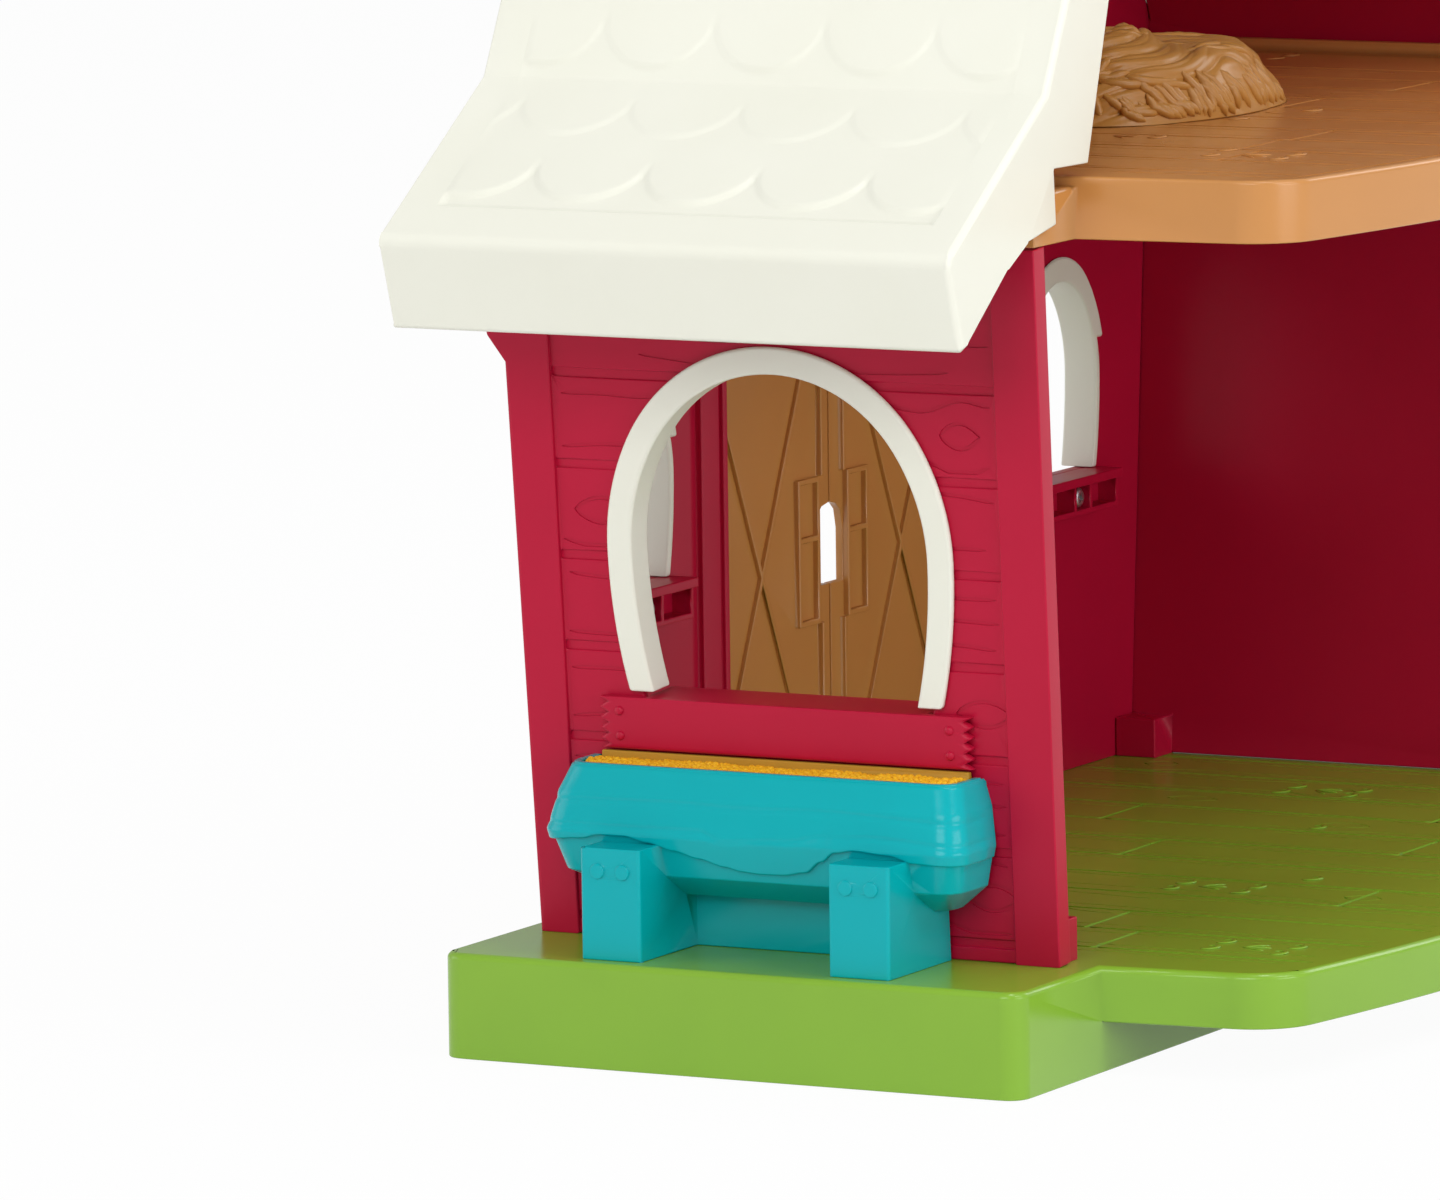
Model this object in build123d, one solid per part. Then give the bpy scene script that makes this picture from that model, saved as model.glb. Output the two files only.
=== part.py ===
"""Toy barn with opening doors: an open-sided play barn moulded in coloured plastic.

Millimetres, +Z up, standing on Z = 0. X runs along the barn, from the plain end (-X) to the
window end (+X). The front wall with its two doors faces -Y and the open play side faces +Y.
The origin is the centre of the footprint. A depth is a distance behind the front corner of the
end walls, and a height is a distance above the play floor, unless the name says otherwise.
"""

from build123d import *
from math import cos, hypot, pi, radians, sin, tan
import os

# ---------------------------------------------------------------- driving dimensions
FRONT = -87.0              # Y of the end walls' front corner at the floor
FLOOR = 22.2               # Z of the play floor, the base's top
WALL_HALF = 143.1          # X of the end walls' corner posts at the floor
WALL_DEPTH = 121.2         # front to back of an end wall at the floor
FLARE = 4.2                # degrees that the end walls lean outwards
POST_PROUD = 1.0           # the corner posts stand this far in front of the plank panel
PANEL = 1.7                # thickness of the plank panel
FRONT_FACE = -0.6          # depth of the front wall's outer face
FRONT_SKIN = 1.6           # thickness of the front wall

SHELF = 32.6               # the base's shelf beyond each end wall
BASE_FRONT = -6.5          # depth of the base's front edge
BASE_BACK = 128.0          # depth of the plinth's back edge, where the play apron starts
APRON_FRONT = 180.5        # depth of the apron's middle
APRON_CORNER = 167.0       # depth of the apron's corners before rounding
APRON_THICK = 11.6         # the apron's skirt, raised clear of the table
SKIN = 2.2                 # moulded wall thickness of base, deck and roof
RIB = 1.6                  # thickness of the ribs underneath base and deck
BORE_SIDES = 6             # screw bores, bosses and shanks are plain prisms

DECK_UNDER = 149.5         # height of the loft deck's underside
DECK_TOP = 162.4           # height of the loft deck's top
TAB_DROP = 2.0             # the deck's shoulder tabs are this much lower than its top

EAVE_LOW = (191.0, 131.7)  # roof section, X and height: foot of the fascia
EAVE_TOP = (197.3, 151.2)  # top of the fascia
BEND = (151.7, 180.6)      # flared eave meets the steep slope
KNEE = (124.0, 233.5)      # steep slope meets the shallow upper slope
RIDGE = (0.0, 299.4)
ROOF_FRONT = -6.0          # depth of the roof's front rake
ROOF_BACK = 124.3          # depth of the rake over the open side
RAKE = 2.0                 # thickness of the rake boards
RAKE_BEVEL = 1.0           # the rakes' outer edges are bevelled by this much
EAVE_ROUND = 3.0           # radius along the fascia's top edge
EAVE_FOOT_ROUND = 1.3      # radius along the fascia's bottom edge
SHINGLE_PITCH = 25.5       # width of one scalloped shingle
SHINGLE_ROW = 21.2         # exposed length of one row of shingles
SHINGLE_MIDDLE = 58.0      # depth on which the scallops are centred
SCALLOP_FACETS = 5         # straight facets round one scalloped end
PANEL_SUNK = 0.6           # the shingle panels are sunk this deep in the roof

DOORWAY_HALF = 60.0
DOORWAY_TOP = 119.5
DOOR_TOP = 121.5
DOOR_GAP = 0.35            # half the gap between the two leaves
HINGE_X = 65.4
HINGE_DEPTH = -3.6
KNUCKLE_R = 2.7
KNUCKLE_SIDES = 14
PIN_R = 1.0
PIN_CLEARANCE = 0.06

WINDOW_X = 104.0           # centres of the two front windows
CROWN = 1.06               # crown radius of an arched window, over that of an ellipse
SILL_TOP = 68.3            # top of the boxes under the front windows
END_SILL = 51.8            # top of the board under the end window

LEAN = radians(FLARE)
END_WALL = Plane(
    origin=(WALL_HALF, FRONT, FLOOR), x_dir=(0, 1, 0), z_dir=(cos(LEAN), 0, -sin(LEAN))
)


# ---------------------------------------------------------------- helpers
def block(x, depth, height):
    """A box from pairs of limits: X, depth behind the front corner, height above the floor."""
    size = (x[1] - x[0], depth[1] - depth[0], height[1] - height[0])
    corner = (x[0], FRONT + depth[0], FLOOR + height[0])
    return Pos(*corner) * Box(*size, align=(Align.MIN, Align.MIN, Align.MIN))


def across(outline, depth, rounded=()):
    """A prism along Y: its outline is X and height, and rounded lists (corner, radius) pairs."""
    points = [(x, FLOOR + z) for x, z in outline]
    face = make_face(Polyline(*points, close=True))
    for (x, z), radius in rounded:
        corner = face.vertices().sort_by_distance((x, FLOOR + z, 0))[0]
        face = fillet(corner, radius=radius)
    start = Plane.XZ.offset(-(FRONT + depth[1]))
    return extrude(start * face, amount=depth[1] - depth[0])


def along(outline, x):
    """A prism whose outline is given as depth and height, running through a pair of X."""
    points = [(FRONT + y, FLOOR + z) for y, z in outline]
    face = make_face(Polyline(*points, close=True))
    return extrude(Plane.YZ.offset(x[0]) * face, amount=x[1] - x[0])


def upright(radius, x, depth, height):
    """A vertical cylinder through a pair of heights."""
    foot = Pos(x, FRONT + depth, FLOOR + height[0])
    return foot * Cylinder(
        radius, height[1] - height[0], align=(Align.CENTER, Align.CENTER, Align.MIN)
    )


def screw_post(radius, x, depth, height):
    """An upright prism for a screw boss or its bore, through a pair of heights."""
    foot = Pos(x, FRONT + depth, FLOOR + height[0])
    return extrude(foot * RegularPolygon(radius, BORE_SIDES), amount=height[1] - height[0])


def level_bore(radius, x, depth, height):
    """A prism for a screw bore along Y, through a pair of depths."""
    foot = Pos(x, FRONT + depth[0], FLOOR + height) * Rot(-90, 0, 0)
    return extrude(foot * RegularPolygon(radius, BORE_SIDES), amount=depth[1] - depth[0])


def moved_inside(line, distance):
    """The X-height points of an open line, moved square to it towards the barn's inside."""
    shifted = []
    for (ax, az), (bx, bz) in zip(line, line[1:]):
        run = hypot(bx - ax, bz - az)
        step = (-(bz - az) / run * distance, (bx - ax) / run * distance)
        shifted.append(((ax + step[0], az + step[1]), (bx + step[0], bz + step[1])))
    points = [shifted[0][0]]
    for ((ax, az), (bx, bz)), ((cx, cz), (dx, dz)) in zip(shifted, shifted[1:]):
        span = (bx - ax) * (dz - cz) - (bz - az) * (dx - cx)
        share = ((cx - ax) * (dz - cz) - (cz - az) * (dx - cx)) / span
        points.append((ax + share * (bx - ax), az + share * (bz - az)))
    points.append(shifted[-1][1])
    return points


def roof_line(distance):
    """The roof section from eave to ridge, moved inwards, with its last point on X = 0."""
    points = moved_inside([EAVE_LOW, EAVE_TOP, BEND, KNEE, RIDGE], distance)
    (ax, az), (bx, bz) = points[-2:]
    points[-1] = (0.0, az + (bz - az) * ax / (ax - bx))
    return points


def horseshoe(half, rise, spring, foot_half, foot):
    """An arched window outline: a three-centred head on legs that draw in towards the foot."""
    crown_r = CROWN * half * half / rise
    flank_r = (half ** 2 + (rise - crown_r) ** 2 - crown_r ** 2) / (2 * (half - crown_r))
    share = crown_r / (flank_r - crown_r)
    meet = ((flank_r - half) * share, spring + (rise - crown_r) * (1 + share))
    crown = ThreePointArc((-meet[0], meet[1]), (0, spring + rise), meet)
    middle = (spring + foot) / 2
    bulge = half - (half - foot_half) / 4
    sides = []
    for side in (-1, 1):
        top = (side * meet[0], meet[1])
        sides.append(TangentArc((side * half, spring), top, tangent=(0, 1)))
        hip = (side * bulge, middle)
        sides.append(ThreePointArc((side * foot_half, foot), hip, (side * half, spring)))
    base = Line((-foot_half, foot), (foot_half, foot))
    return make_face([crown.edge(), base.edge()] + [side.edge() for side in sides])


def notched_board(width, low, high, teeth):
    """A board outline whose two ends are cut into a row of saw teeth."""
    tooth = (high - low) / teeth
    deep = width / 2 - 2.2
    points = [(-width / 2, high)]
    for k in range(teeth):
        points.append((-deep, high - (k + 0.5) * tooth))
        points.append((-width / 2, high - (k + 1) * tooth))
    points += [(-x, z) for x, z in reversed(points)]
    return make_face(Polyline(*points, close=True))


def apron_outline(side, back, front):
    """Half-round-cornered, bow-fronted plan shared by the play apron and the loft deck."""
    corner = FRONT + APRON_CORNER
    edges = [
        Line((-side, back), (-side + 5, corner)),
        ThreePointArc((-side + 5, corner), (0, front), (side - 5, corner)),
        Line((side - 5, corner), (side, back)),
        Line((side, back), (-side, back)),
    ]
    face = make_face(edges)
    corners = face.vertices().sort_by(Axis.Y)[-2:]
    return fillet(corners, radius=14)


def bow_hollow(side):
    """The bow-fronted plan drawn in by one wall thickness, for the hollow underneath."""
    return offset(apron_outline(side, FRONT + 100, FRONT + APRON_FRONT), amount=-SKIN)


def ribbed(hollow, columns, rows):
    """The hollow under a moulded floor, less a grid of ribs spaced evenly across it."""
    box = hollow.bounding_box()
    ribs = []
    for k in range(1, columns):
        x = box.min.X + k * box.size.X / columns
        ribs.append(Pos(x, box.center().Y, box.center().Z) * Box(RIB, box.size.Y, box.size.Z))
    for k in range(1, rows):
        y = box.min.Y + k * box.size.Y / rows
        ribs.append(Pos(box.center().X, y, box.center().Z) * Box(box.size.X, RIB, box.size.Z))
    return hollow - ribs


def both_sides(shape):
    """The shape and its mirror image across the barn's middle."""
    return shape + mirror(shape, about=Plane.YZ)


# ---------------------------------------------------------------- base
CORNER_SCREW_X = 135.6
CORNER_SCREWS = [(x, y) for x in (-CORNER_SCREW_X, CORNER_SCREW_X) for y in (6.2, 114.0)]
DOOR_POST_SCREWS = [(-69.2, 5.0), (69.2, 5.0)]
TROUGH_LEGS = (31.9, 89.4)           # depths of the trough's two legs
TROUGH_SCREWS = [(WALL_HALF + 18, y) for y in TROUGH_LEGS]
SCREW_SEAT = -18.2                   # height of the base screws' heads' undersides


def make_base():
    """Green plinth with an end shelf and a raised, bow-fronted apron, ribbed underneath."""
    half = WALL_HALF + SHELF
    plinth = block((-half, half), (BASE_FRONT, BASE_BACK), (-FLOOR, 0))
    plinth = fillet(plinth.edges().filter_by(Axis.Z), radius=5)
    apron = extrude(
        Plane.XY.offset(FLOOR - APRON_THICK)
        * apron_outline(WALL_HALF - 4, FRONT + 110, FRONT + APRON_FRONT),
        amount=APRON_THICK,
    )
    body = plinth + apron
    rim = body.faces().sort_by(Axis.Z)[-1].outer_wire().edges()
    body = chamfer(rim, length=0.9)
    hollow = block((-half + SKIN, half - SKIN), (BASE_FRONT + SKIN, BASE_BACK - SKIN), (-FLOOR, -SKIN))
    body -= ribbed(hollow, 8, 3)
    hollow = extrude(Plane.XY.offset(FLOOR - APRON_THICK) * bow_hollow(WALL_HALF - 4), APRON_THICK - SKIN)
    body -= ribbed(hollow & block((-200, 200), (BASE_BACK, 200), (-FLOOR, 0)), 6, 2)
    for x, y in CORNER_SCREWS + DOOR_POST_SCREWS + TROUGH_SCREWS:
        body += screw_post(3.6, x, y, (SCREW_SEAT, -SKIN))
    for x, y in CORNER_SCREWS + DOOR_POST_SCREWS + TROUGH_SCREWS:
        body -= screw_post(1.3, x, y, (SCREW_SEAT, 0))
    return body


# ---------------------------------------------------------------- walls
WINDOW_MIDDLE = 60.5                 # depth of the end window's centre line
END_FRAME_OUT = (40.1, 43.9, 83.2, 36.4, 53.0)
END_FRAME_IN = (34.3, 38.1, 83.2, 30.6, 53.0)
END_HOLE = (36.9, 40.7, 83.2, 33.2, 49.8)
PLANK = 19.3                         # height of one moulded plank
GROOVE = 1.9                         # width of the flat groove between two planks
POST = 9.0                           # width of a corner post


def end_wall_blank():
    """The end wall in its own leaning plane, as a plate with proud corner posts and planks."""
    full = POST_PROUD + PANEL
    outline = [
        (0, 0), (WALL_DEPTH, 0), (122.0, DECK_UNDER - 0.1), (111.2, DECK_UNDER - 0.1),
        (111.2, 172.4), (-2.0, 172.4), (-2.0, 137.0), (-5.8, 132.0), (-5.8, 127.0), (-1.8, 121.5),
    ]
    plate = extrude(END_WALL * make_face(Polyline(*outline, close=True)), amount=-full)
    recess = make_face(
        Polyline((POST, -1), (WALL_DEPTH - 10.2, -1), (111.8, 180), (8.4, 180), close=True)
    )
    plate -= extrude(END_WALL * recess, amount=-POST_PROUD)
    for k in range(8):
        groove = Pos(60, 3.9 + k * PLANK) * Rectangle(120, GROOVE)
        plate -= extrude(END_WALL.offset(-POST_PROUD) * (groove & recess), amount=-0.45)
    edge = make_face(
        Polyline((119.6, 0), (WALL_DEPTH, 0), (122.0, 149.4), (120.2, 149.4), close=True)
    )
    return plate + extrude(END_WALL * edge, amount=-5.2)


def end_wall_fittings():
    """Inside the end wall: screw feet, the deck's ledge and the lip that carries the roof."""
    foot = block((131.4, 141.6), (1.2, 11.2), (0, 9)) + block((131.4, 141.6), (109, 119.6), (0, 9))
    for depth in (6.2, 114.0):
        foot -= screw_post(1.1, CORNER_SCREW_X, depth, (0, 8))
    ledge = block((148.6, 152.2), (4.2, 108), (146.4, DECK_UNDER - 0.1))
    for depth in LOFT_SCREW_DEPTHS:
        ledge += block((142.8, 152.2), (depth - 4, depth + 4), (144.4, DECK_UNDER - 0.1))
        ledge -= screw_post(1.2, LOFT_SCREW_X, depth, (144, DECK_UNDER))
    lip_out = roof_line(SKIN + 0.2)
    lip_in = roof_line(SKIN + 0.2 + PANEL)
    slope = (lip_out[3][0] - lip_out[2][0]) / (lip_out[3][1] - lip_out[2][1])
    lip_top = 194.0
    lip = across(
        [
            (152.9, 168.0), (154.7, 171.0), lip_out[2],
            (lip_out[2][0] + (lip_top - lip_out[2][1]) * slope, lip_top),
            (lip_in[2][0] + (lip_top - lip_in[2][1]) * slope, lip_top), lip_in[2],
        ],
        (1.2, 111.2),
    )
    return foot + ledge + lip


def make_end_wall(window):
    wall = end_wall_blank() + end_wall_fittings()
    if window:
        hole = END_WALL.offset(1) * (Pos(WINDOW_MIDDLE, 0) * horseshoe(*END_HOLE))
        wall -= extrude(hole, amount=-8)
    return wall


def hinge_barrel(height):
    """A hinge knuckle or barrel round the right door's hinge line, not yet bored."""
    foot = Pos(HINGE_X, FRONT + HINGE_DEPTH, FLOOR + height[0])
    return extrude(foot * RegularPolygon(KNUCKLE_R, KNUCKLE_SIDES), amount=height[1] - height[0])


def make_front_wall():
    """Front wall up to the ridge, with the doorway, two windows, pilasters and hinge knuckles."""
    inner = FRONT_FACE + FRONT_SKIN
    edge_x = WALL_HALF - POST_PROUD - PANEL - 0.15
    under = roof_line(SKIN + 0.25)
    side = [(edge_x, 0), (edge_x + 171 * tan(LEAN), 171), (150.2, 174.5)]
    side += [(under[2][0] - 2.2, under[2][1] + 1.4), (under[3][0], under[3][1]), under[4]]
    outline = side + [(-x, z) for x, z in reversed(side[:-1])]
    wall = across(outline, (FRONT_FACE, inner))
    wall -= block((-DOORWAY_HALF, DOORWAY_HALF), (-5, 5), (-1, DOORWAY_TOP))
    strip = block((65.2, 73.2), (inner, inner + 1.6), (0, 146.4))
    strip += block((DOORWAY_HALF, 62.0), (inner, inner + 1.0), (0, DOORWAY_TOP))
    strip += block((65.2, 73.2), (inner, 9.2), (0, 9))
    strip -= screw_post(1.1, DOOR_POST_SCREWS[1][0], DOOR_POST_SCREWS[1][1], (0, 8))
    wall += both_sides(strip)
    wall += block((-151, 151), (inner, inner + 3), (146.4, DECK_UNDER - 0.1))
    wall += block((-62, 62), (inner, inner + 1), (DOORWAY_TOP, DOORWAY_TOP + 2))
    wall += both_sides(block((DOORWAY_HALF, STOP_OUT), (STOP_FACE, FRONT_FACE), (0, DOOR_TOP - 0.2)))
    wall += block((-STOP_OUT, STOP_OUT), (STOP_FACE, FRONT_FACE), (DOORWAY_TOP, DOOR_TOP - 0.2))
    for low, high in KNUCKLE_HEIGHTS:
        web = block((HINGE_X - 1.8, HINGE_X + 1.8), (HINGE_DEPTH, FRONT_FACE), (low, high))
        knuckle = hinge_barrel((low, high)) + web
        knuckle -= upright(PIN_R, HINGE_X, HINGE_DEPTH, (low, high))
        wall += both_sides(knuckle)
    for x in (-WINDOW_X, WINDOW_X):
        opening = Pos(x, FLOOR) * horseshoe(*FRONT_HOLE)
        wall -= extrude(Plane.XZ.offset(-FRONT - 5) * opening, amount=10)
        wall -= level_bore(1.3, x, (-5, 5), LEDGE_SCREW_Z)
    clear = wall_groove_area()
    for k in range(15):
        low = 2.9 + k * PLANK
        wall -= block((-152, 152), (FRONT_FACE, FRONT_FACE + 0.45), (low, low + GROOVE)) & clear
    for x, z in ROOF_LUGS:
        wall -= both_sides(level_bore(0.9, x, (FRONT_FACE + 0.5, inner), z))
    return wall


def wall_groove_area():
    """The plank grooves stay clear of the knuckles and of the window frames' seats."""
    area = block((-152, 152), (-2, 2), (0, 285))
    area -= block((-70, 70), (-2, 2), (0, 123))
    area -= both_sides(block((WINDOW_X - 26, WINDOW_X + 26), (-2, 2), (52, 122)))
    return area


# ---------------------------------------------------------------- window frames and sills
FRONT_FRAME_OUT = (22.3, 28.2, 90.0, 20.0, 68.4)
FRONT_FRAME_IN = (17.5, 22.5, 90.0, 15.2, 68.4)
FRONT_HOLE = (19.6, 24.6, 90.0, 17.3, 66.3)
FRONT_FRAME_PROUD = 5.8              # the frame stands this far in front of the front wall
LEDGE_SCREW_Z = 63.4


def make_end_window_frame():
    """Cream horseshoe frame: a face flange outside and a deep jamb through the wall."""
    seat = END_WALL.offset(-POST_PROUD) * Pos(WINDOW_MIDDLE, 0)
    flange = extrude(seat * horseshoe(*END_FRAME_OUT), amount=1.6)
    tube = (36.9, 40.7, 83.2, 33.2, 53.0)
    jamb = extrude(seat * horseshoe(*tube), amount=-6.2)
    opening = Pos(WINDOW_MIDDLE, -0.01) * horseshoe(*END_FRAME_IN)
    frame = flange + jamb
    frame -= extrude(END_WALL.offset(4) * opening, amount=-16)
    foot = END_WALL * Pos(WINDOW_MIDDLE, 51.9) * Rectangle(66, 2.2)
    return frame - extrude(foot, amount=10, both=True)


def make_front_window_frame(x):
    """Cream arched frame of a front window: deep outside, with a lip inside round its head."""
    seat = Plane.XZ.offset(-FRONT - FRONT_FACE)
    outer = Pos(x, FLOOR) * horseshoe(*FRONT_FRAME_OUT)
    flange = extrude(seat * outer, amount=FRONT_FRAME_PROUD)
    tube = Pos(x, FLOOR) * horseshoe(19.6, 24.6, 90.0, 17.3, 68.4)
    jamb = extrude(seat * tube, amount=-(FRONT_SKIN + 0.9))
    inside = Plane.XZ.offset(-FRONT - FRONT_FACE - FRONT_SKIN)
    lip = extrude(inside * outer, amount=-0.9)
    lip -= block((x - 30, x + 30), (-5, 9), (60, 98))
    frame = flange + jamb + lip
    opening = Pos(x, FLOOR) * horseshoe(*FRONT_FRAME_IN)
    frame -= extrude(Plane.XZ.offset(-FRONT + 9) * opening, amount=-24)
    return frame - block((x - 30, x + 30), (-9, 9), (60, 68.45))


def make_end_sill_board():
    """Saw-toothed board outside, with a ledge through the wall under the end window."""
    seat = END_WALL.offset(-POST_PROUD) * Pos(WINDOW_MIDDLE, 0)
    board = extrude(seat * notched_board(87.0, 40.7, END_SILL, 5), amount=2.6)
    return board + extrude(seat * Pos(0, 50.85) * Rectangle(66.2, 1.9), amount=-10.4)


def make_front_board(x):
    """Saw-toothed board outside under a front window, with the blind hole of its screw."""
    seat = Plane.XZ.offset(-FRONT - FRONT_FACE) * Pos(x, FLOOR)
    board = extrude(seat * notched_board(46.0, 57.4, SILL_TOP, 5), amount=3.4)
    return board - level_bore(1.1, x, (FRONT_FACE - 2.9, FRONT_FACE), LEDGE_SCREW_Z)


def make_front_sill_box(x):
    """Three-cell box inside under a front window, open towards the room."""
    inner = FRONT_FACE + FRONT_SKIN
    box = block((x - 18, x + 18), (inner, 7.0), (59.6, 66.25))
    box += block((x - 19.2, x + 19.2), (inner, 7.6), (66.25, SILL_TOP))
    box += block((x - 17.0, x + 17.0), (FRONT_FACE, inner), (66.35, SILL_TOP))
    for low, high in ((-16.8, -4.6), (-3.4, 3.4), (4.6, 16.8)):
        box -= block((x + low, x + high), (inner + 1.4, 8), (60.8, 66.0))
    return box - level_bore(1.3, x, (0, 8), LEDGE_SCREW_Z)


# ---------------------------------------------------------------- doors
KNUCKLE_HEIGHTS = [(2.0, 12.0), (108.4, 118.4)]
LEAF_BARRELS = [(12.3, 24.1), (96.3, 108.1)]
LEAF_EDGE = 62.2                     # X of the leaf's hinge side
LEAF_FOOT = 0.8                      # height of the leaf's bottom edge
SKIN_OUT = -6.0                      # depths of the leaf's skin
SKIN_IN = -4.7
FLANGE_IN = -3.4                     # depth of the tops of the leaf's flanges and ribs
STOP_FACE = -3.1                     # depth of the doorway's stop, which the closed leaves meet
STOP_OUT = 61.9                      # X of the stop's outer side
HOLE_HALF = 6.3                      # half width of the finger hole
HOLE_LOW = 56.0
HOLE_TOP = 74.0


def brace(start, end, width, depth):
    """A straight bar between two X-height points."""
    run = hypot(end[0] - start[0], end[1] - start[1])
    nx = -(end[1] - start[1]) / run * width / 2
    nz = (end[0] - start[0]) / run * width / 2
    outline = [
        (start[0] + nx, start[1] + nz), (end[0] + nx, end[1] + nz),
        (end[0] - nx, end[1] - nz), (start[0] - nx, start[1] - nz),
    ]
    return across(outline, depth)


def frame_rib(x, height, rib, depth):
    """A rectangular outline of upright ribs, through a pair of depths."""
    outer = block(x, depth, height)
    return outer - block((x[0] + rib, x[1] - rib), depth, (height[0] + rib, height[1] - rib))


def make_right_door():
    """Tan leaf: boarded and cross-braced outside, flanged and ribbed inside."""
    ribs = (SKIN_IN, FLANGE_IN)
    leaf = block((DOOR_GAP, LEAF_EDGE), (SKIN_OUT, SKIN_IN), (LEAF_FOOT, DOOR_TOP))
    leaf += frame_rib((4.7, LEAF_EDGE), (LEAF_FOOT, DOOR_TOP), 1.2, ribs)
    leaf -= block((0, 6.6), ribs, (48.0, 80.5))
    leaf += frame_rib((6.6, 16.8), (48.0, 67.6), 1.2, ribs)
    leaf += frame_rib((6.6, 16.8), (66.4, 80.5), 1.2, ribs)
    corners = [(6.0, 2.0), (61.0, DOOR_TOP - 1.2), (6.0, DOOR_TOP - 1.2), (61.0, 2.0)]
    inside = brace(corners[0], corners[1], 1.2, (SKIN_IN, SKIN_IN + 1.0))
    inside += brace(corners[2], corners[3], 1.2, (SKIN_IN, SKIN_IN + 1.0))
    leaf += inside - block((0, 16.8), (-9, 9), (48.0, 80.5))
    border = block((7.5, LEAF_EDGE - 7), (-9, 0), (LEAF_FOOT + 7, DOOR_TOP - 7))
    front = (SKIN_OUT - 0.5, SKIN_OUT)
    cross = brace((3, 3), (60, 119), 6.5, front) + brace((3, 119), (60, 3), 6.5, front)
    trim = block((DOOR_GAP, LEAF_EDGE), front, (LEAF_FOOT, DOOR_TOP)) - border
    leaf += trim + (cross & border)
    arch = [(0, 68), (HOLE_HALF, 68), (5.4, 71.6), (3.2, 73.4), (0, HOLE_TOP)]
    leaf -= block((0, HOLE_HALF), (-9, 5), (HOLE_LOW, 68)) + across(arch, (-9, 5))
    for low, high in LEAF_BARRELS:
        leaf += hinge_barrel((low, high))
        leaf += block((LEAF_EDGE - 1, HINGE_X), (SKIN_OUT, SKIN_IN + 0.6), (low, high))
        leaf -= upright(PIN_R + PIN_CLEARANCE, HINGE_X, HINGE_DEPTH, (low - 1, high + 1))
    return leaf


def make_hinge_pins(side):
    """Two steel hinge pins of one door, held in the wall's knuckles."""
    low, high = KNUCKLE_HEIGHTS[0][0], LEAF_BARRELS[0][1]
    pins = upright(PIN_R, side * HINGE_X, HINGE_DEPTH, (low, high))
    low, high = LEAF_BARRELS[1][0], KNUCKLE_HEIGHTS[1][1]
    return pins + upright(PIN_R, side * HINGE_X, HINGE_DEPTH, (low, high))


# ---------------------------------------------------------------- loft
LOFT_SCREW_X = 146.2
LOFT_SCREW_DEPTHS = (22.0, 94.0)
HAY_SIDES = 16                       # facets round the heap
HAY_ASPECT = 0.55                    # depth of the heap over its length


def make_loft_deck():
    """Tan deck with a bowed front, shoulder tabs, rims at the ends and ribs underneath."""
    thick = DECK_TOP - DECK_UNDER
    middle = block((-151.2, 151.2), (1.2, 111.5), (DECK_UNDER, DECK_TOP))
    tabs = block((-153.8, 153.8), (111.4, 122.1), (DECK_UNDER, DECK_TOP - TAB_DROP))
    bow = extrude(
        Plane.XY.offset(FLOOR + DECK_UNDER)
        * apron_outline(136.6, FRONT + 100, FRONT + APRON_FRONT - 0.4),
        amount=thick,
    )
    deck = middle + tabs + bow
    deck += both_sides(block((147.6, 151.2), (1.2, 111.0), (DECK_TOP, DECK_TOP + 3.0)))
    hollow = block((-149, 149), (3.4, 112), (DECK_UNDER, DECK_TOP - SKIN))
    hollow += block((-151.6, 151.6), (111, 119.9), (DECK_UNDER, DECK_TOP - SKIN - TAB_DROP))
    hollow += extrude(Plane.XY.offset(FLOOR + DECK_UNDER) * bow_hollow(136.6), thick - SKIN)
    deck -= ribbed(hollow, 7, 3)
    for side in (-1, 1):
        for depth in LOFT_SCREW_DEPTHS:
            deck += screw_post(3.2, side * LOFT_SCREW_X, depth, (DECK_UNDER, DECK_TOP - SKIN))
            deck -= screw_post(0.9, side * LOFT_SCREW_X, depth, (DECK_UNDER, DECK_UNDER + 8))
    return deck


def make_hay_mound():
    """Low heap of moulded hay, longer than it is deep, with a steep plain end."""
    layers = [
        (0.0, 49.0, -2), (6.0, 45.5, -3), (10.0, 41.5, -3),
        (13.5, 35.0, -3), (16.5, 27.0, 1), (18.8, 18.0, 5), (20.0, 8.0, 9),
    ]
    rings = []
    for rise, long, x in layers:
        angles = [2 * pi * k / HAY_SIDES for k in range(HAY_SIDES)]
        points = [(x + long * cos(a), FRONT + 71 + HAY_ASPECT * long * sin(a)) for a in angles]
        ring = make_face(Polyline(*points, close=True))
        rings.append(Plane.XY.offset(FLOOR + DECK_TOP + rise) * ring)
    return loft(rings, ruled=True)


# ---------------------------------------------------------------- roof
ROOF_LUGS = [(112.0, 220.0), (40.0, 262.0)]


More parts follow.
